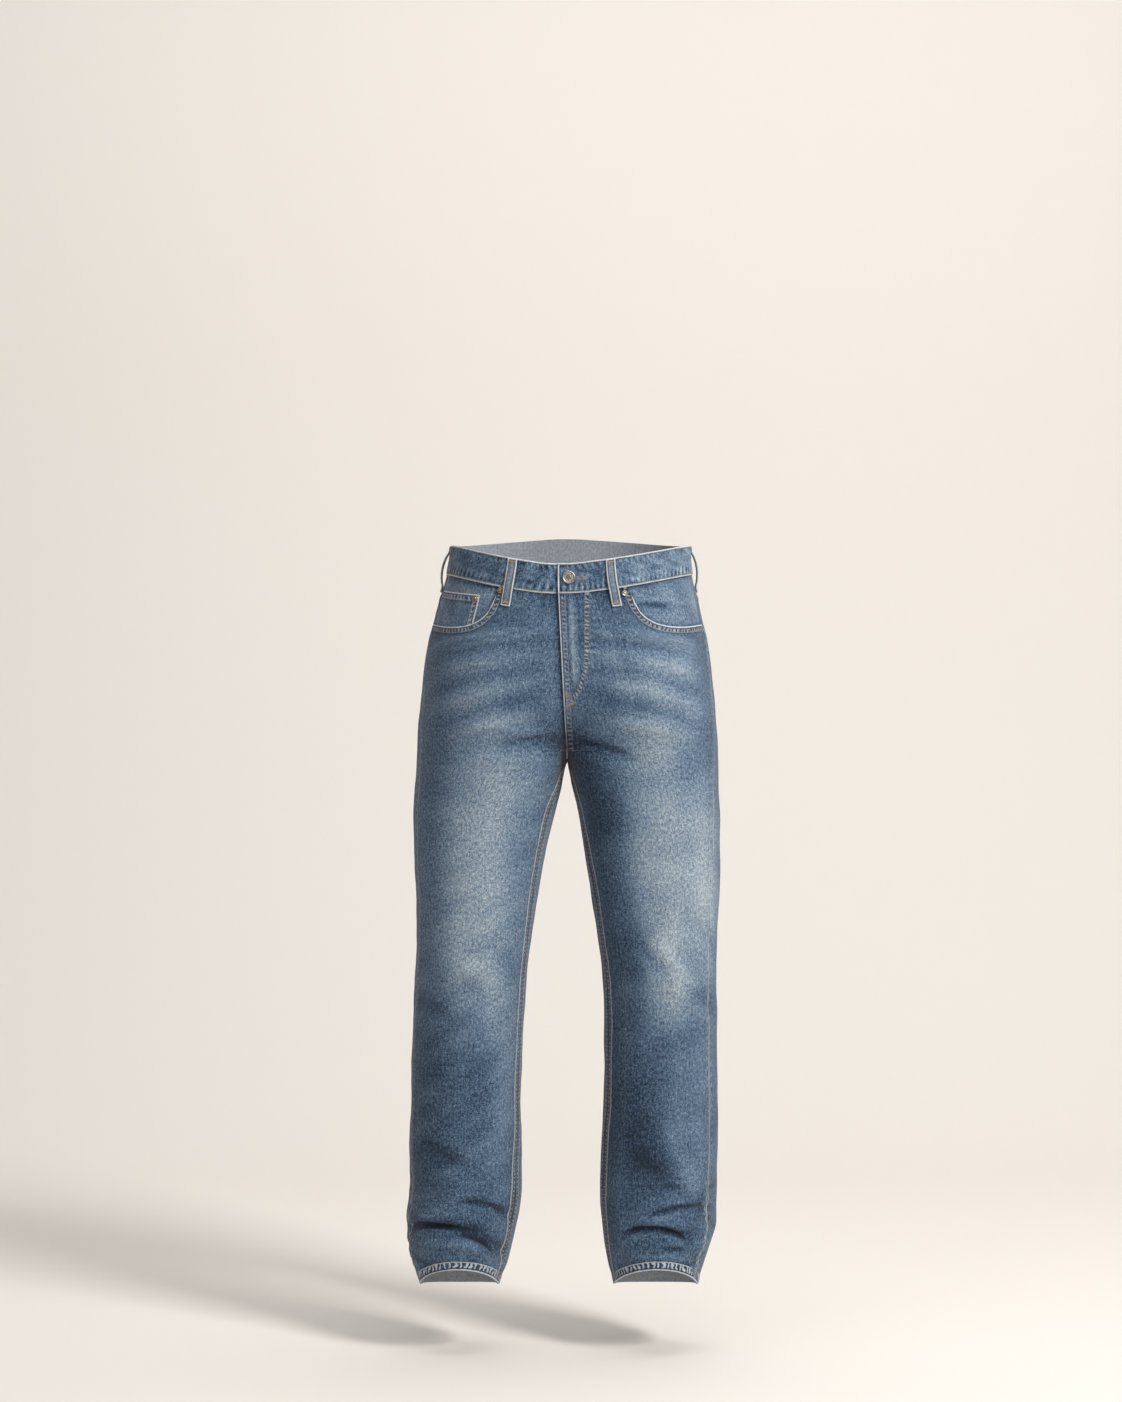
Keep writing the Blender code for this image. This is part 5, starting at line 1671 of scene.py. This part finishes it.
# The lines of a seam, from its coordinates: a worn edge, painted shade in the groove beside it, ridges that
# slant between the rows of sewing with darker hollows between them, and a second row with painted shade in
# its own groove
def drawnSeams(nodes, uv):
    way, run, wide, white, rope, row = (nodes.attribute(key) for key in seamKeys)
    wobble = nodes.minus(nodes.noise(uv, 120, 2, 0.5), 0.5)
    way = nodes.plus(way, nodes.times(wobble, 1.1))

    def ramp(value, start, span):
        return nodes.over(nodes.minus(value, start), span, clamp=True)

    def line(value, centre, half):
        off = nodes.math("ABSOLUTE", nodes.minus(value, centre))
        return nodes.minus(1.0, nodes.over(off, half), clamp=True)

    def times(first, *others):
        for other in others:
            first = nodes.times(first, other)
        return first

    edgeLine = times(ramp(way, denimLook["whiteTo"] + 0.5, -0.9), ramp(way, -0.9, 0.6), white)
    firstGroove = times(line(way, 2.6, 1.1), nodes.math("MAXIMUM", white, rope), 1.15)
    slanted = nodes.plus(run, times(way, 0.22))
    phase = nodes.plus(nodes.over(slanted, denimLook["rope"]), times(wobble, 1.6))
    wave = nodes.math("SINE", times(phase, 2 * math.pi))
    fromRow = nodes.minus(wide, way)
    inside = times(ramp(way, 3.0, 1.0), ramp(fromRow, 0.0, 1.0), rope)
    ridge = times(ramp(wave, 0.0, 0.8), inside, 0.72)
    hollow = times(ramp(wave, 0.1, -0.8), inside, 0.72)
    rowLine = times(line(fromRow, 0.0, 0.9), row)
    rowGroove = times(line(fromRow, -1.5, 1.2), nodes.math("MAXIMUM", rope, row), 0.9)
    bright = nodes.plus(nodes.plus(edgeLine, ridge), rowLine, clamp=True)
    shadeLines = nodes.plus(nodes.plus(firstGroove, hollow), rowGroove, clamp=True)
    return bright, shadeLines


def makeDenim(name, shift=0.0, grey=0.0):
    nodes = Nodes(name)
    uv = nodes.add("ShaderNodeUVMap", {"uv_map": "cloth"}).outputs[0]
    tone, edge, paintedShade, reverse = (nodes.attribute(key) for key in ("tone", "edge", "paintedShade", "reverse"))
    mottle = nodes.noise(nodes.mapped(uv, (1.0, 0.62, 1.0)), 300, 4, 0.62)
    grain = nodes.noise(nodes.mapped(uv, (1.0, 0.7, 1.0)), 720, 3, 0.62)
    streak = nodes.noise(nodes.mapped(uv, (1.0, 0.045, 1.0)), 700, 2, 0.55)
    cloud = nodes.noise(uv, 26, 3, 0.55)
    total = nodes.plus(tone, shift)
    for source, weight in ((mottle, denimLook["mottle"]), (grain, denimLook["grain"]),
                           (streak, denimLook["streak"]), (cloud, denimLook["cloud"])):
        total = nodes.plus(total, nodes.times(nodes.minus(source, 0.5), weight))
    # painted shade lowers the tone before the colour ramp
    total = nodes.minus(total, nodes.times(paintedShade, 0.22))
    ramp = nodes.add("ShaderNodeValToRGB")
    elements = ramp.color_ramp.elements
    while len(elements) < len(denimLook["stops"]):
        elements.new(0.5)
    for element, (place, colour) in zip(elements, denimLook["stops"]):
        element.position = place
        element.color = (*colour, 1)
    nodes.link(total, ramp.inputs[0])
    colour = ramp.outputs[0]
    if grey:
        colour = nodes.mixColour(grey, colour, denimLook["greyed"])
    # painted shade in the seams' grooves, and darker hollows between the roped ridges
    white, grooveShade = drawnSeams(nodes, uv)
    colour = nodes.mixColour(grooveShade, colour, denimLook["grooveShade"])
    worn = nodes.math("MAXIMUM", edge, white)
    breakUp = nodes.times(worn, nodes.plus(mottle, 0.45), clamp=True)
    colour = nodes.mixColour(breakUp, colour, denimLook["worn"])
    flecks = nodes.minus(nodes.plus(grain, mottle), 0.55)
    fleck = nodes.times(flecks, 1.6, clamp=True)
    back = nodes.mixColour(fleck, denimLook["reverseDark"], denimLook["reverse"])
    colour = nodes.mixColour(reverse, colour, back)
    nodes.link(colour, nodes.shader.inputs["Base Color"])
    # the twill's diagonal ridges, and the yarn's unevenness, as bump
    twillScale = 2 * math.pi / (20 * denimLook["twill"])
    twill = nodes.add("ShaderNodeTexWave", {"Scale": twillScale, "Distortion": 0.6, "Detail": 1.0,
                                            "Detail Scale": 2.0})
    nodes.link(nodes.mapped(uv, (1, 1, 1), math.radians(-28)), twill.inputs["Vector"])
    height = nodes.times(twill.outputs["Fac"], 0.5)
    height = nodes.plus(height, nodes.times(grain, 0.9))
    height = nodes.plus(height, nodes.times(mottle, 1.1))
    nodes.bump(height, 0.55, 0.00045)
    nodes.setShader({"Roughness": 0.92, "Specular IOR Level": 0.22})
    nodes.setShader({"Sheen Weight": 0.18, "Sheen Roughness": 0.5})
    return nodes.material


def makeThreadLook(name, colour, darker):
    nodes = Nodes(name)
    place = nodes.add("ShaderNodeTexCoord").outputs["Object"]
    noise = nodes.noise(place, 420, 2, 0.5)
    nodes.link(nodes.mixColour(noise, darker, colour), nodes.shader.inputs["Base Color"])
    twist = nodes.noise(nodes.mapped(place, (1, 1, 2.2)), 2600, 1, 0.5)
    nodes.bump(twist, 0.5, 0.0001)
    nodes.setShader({"Roughness": 0.7})
    return nodes.material


def makeMetal(name, bright, tarnish, rough):
    nodes = Nodes(name)
    place = nodes.add("ShaderNodeTexCoord").outputs["Object"]
    patina = nodes.noise(place, 380, 4, 0.6)
    hollow = nodes.add("ShaderNodeNewGeometry").outputs["Pointiness"]
    raised = nodes.times(nodes.minus(hollow, 0.5), 3.0)
    share = nodes.plus(patina, raised, clamp=True)
    nodes.link(nodes.mixColour(share, tarnish, bright), nodes.shader.inputs["Base Color"])
    scratch = nodes.noise(place, 1500, 3, 0.6)
    nodes.bump(scratch, 0.35, 0.0001)
    nodes.setShader({"Metallic": 1.0})
    dull = nodes.plus(nodes.times(patina, 0.25), rough)
    nodes.link(dull, nodes.shader.inputs["Roughness"])
    return nodes.material


washedDenim = makeDenim("washedDenim")
loopDenim = makeDenim("loopDenim", 0.06, 0.25)
paleThread = makeThreadLook("paleThread", (0.50, 0.45, 0.36), (0.24, 0.20, 0.155))
tanThread = makeThreadLook("tanThread", (0.50, 0.33, 0.15), (0.28, 0.17, 0.08))
brownThread = makeThreadLook("brownThread", (0.30, 0.24, 0.17), (0.10, 0.08, 0.07))
agedSteel = makeMetal("agedSteel", (0.56, 0.54, 0.50), (0.13, 0.115, 0.10), 0.26)
agedCopper = makeMetal("agedCopper", (0.62, 0.44, 0.27), (0.16, 0.11, 0.075), 0.25)


def dress(made, look, body="root"):
    made.data.materials.clear()
    made.data.materials.append(look)
    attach(made, body)


for made in denimPieces:
    dress(made, washedDenim)
for made in loopMeshes:
    dress(made, loopDenim)
for colour, look in (("pale", paleThread), ("tan", tanThread), ("brown", brownThread)):
    dress(threadMeshes[colour], look)
for key, look, slotName in (("button", agedSteel, "aged_steel"), ("rivetRight", agedCopper, "aged_copper"),
                            ("rivetLeft", agedSteel, "aged_steel"), ("rivetCoin", agedCopper, "aged_copper")):
    dress(metalMeshes[key], look)
print("materials: set")
# Room, light and camera

photo = {"scale": 0.00143, "distance": 4.5, "width": 1122, "centreX": 567, "topY": 546, "middleY": 701}


room = {"floor": -1.146, "back": 3.4, "curve": 1.8, "halfWidth": 8.0}


# The floor runs back and curves up into the wall: straight, a quarter circle, straight
def makeRoom():
    radius, bend = room["curve"], room["back"] - room["curve"]
    turn = np.linspace(0, math.pi / 2, 24)
    y = np.concatenate([[-7.0, -2.0, 0.0, bend], bend + radius * np.sin(turn), [room["back"], room["back"]]])
    rise = room["floor"] + radius - radius * np.cos(turn)
    z = np.concatenate([np.full(4, room["floor"]), rise, [2.5, 6.0]])
    x = np.linspace(-room["halfWidth"], room["halfWidth"], 3)
    points = np.stack(np.broadcast_arrays(x, y[:, None], z[:, None]), axis=-1).reshape(-1, 3)
    index = np.arange(len(y) * 3).reshape(len(y), 3)
    faces = np.stack([index[:-1, :-1], index[:-1, 1:], index[1:, 1:], index[1:, :-1]], axis=-1).reshape(-1, 4)
    made = setMesh("room", points / mm, faces.tolist())
    nodes = Nodes("roomPaint")
    nodes.setShader({"Base Color": (0.80, 0.757, 0.712, 1), "Roughness": 0.95, "Specular IOR Level": 0.1})
    made.data.materials.append(nodes.material)
    return made


# Each light's place, target, size in metres, power in watts and colour
lights = {
    "key": ((2.6, -2.8, 2.3), (0, 0, -0.55), (1.1, 1.4), 205, (1.0, 0.985, 0.96)),
    "fill": ((-3.2, -3.8, 0.9), (0, 0, -0.5), (2.0, 2.0), 14, (0.95, 0.975, 1.0)),
    "wall": ((0.0, 0.9, 2.4), (0, 3.4, 0.2), (6.0, 0.8), 34, (1.0, 0.99, 0.975)),
    "top": ((0.3, -0.2, 3.2), (0, 0.0, -0.8), (3.0, 2.2), 66, (1.0, 0.99, 0.97)),
}


def areaLight(name, place, target, size, power, colour):
    data = bpy.data.lights.new(name, "AREA")
    data.shape, data.size, data.size_y = "RECTANGLE", size[0], size[1]
    data.energy, data.color = power, colour
    made = bpy.data.objects.new(name, data)
    bpy.context.scene.collection.objects.link(made)
    made.location = place
    way = np.array(target) - np.array(place)
    made.rotation_euler = (math.acos(-way[2] / np.linalg.norm(way)), 0, math.atan2(way[0], -way[1]) + math.pi)
    return made


def makeCamera():
    data = bpy.data.cameras.new("photoCamera")
    made = bpy.data.objects.new("photoCamera", data)
    bpy.context.scene.collection.objects.link(made)
    scale = photo["scale"]
    made.location = (-(photo["centreX"] - photo["width"] / 2) * scale, -photo["distance"],
                     -(photo["middleY"] - photo["topY"]) * scale)
    made.rotation_euler = (math.pi / 2, 0, 0)
    data.sensor_fit = "HORIZONTAL"
    data.sensor_width = 36
    data.lens = 36 * photo["distance"] / scale / photo["width"]
    bpy.context.scene.camera = made


makeRoom()
for name, light in lights.items():
    areaLight(name, *light)
world = bpy.data.worlds.new("studio")
bpy.context.scene.world = world
world.use_nodes = True
background = world.node_tree.nodes["Background"]
background.inputs["Color"].default_value = (0.93, 0.95, 1.0, 1)
background.inputs["Strength"].default_value = 0.20
bpy.context.scene.view_settings.view_transform = "Standard"
makeCamera()
print("room, lights and camera: set")
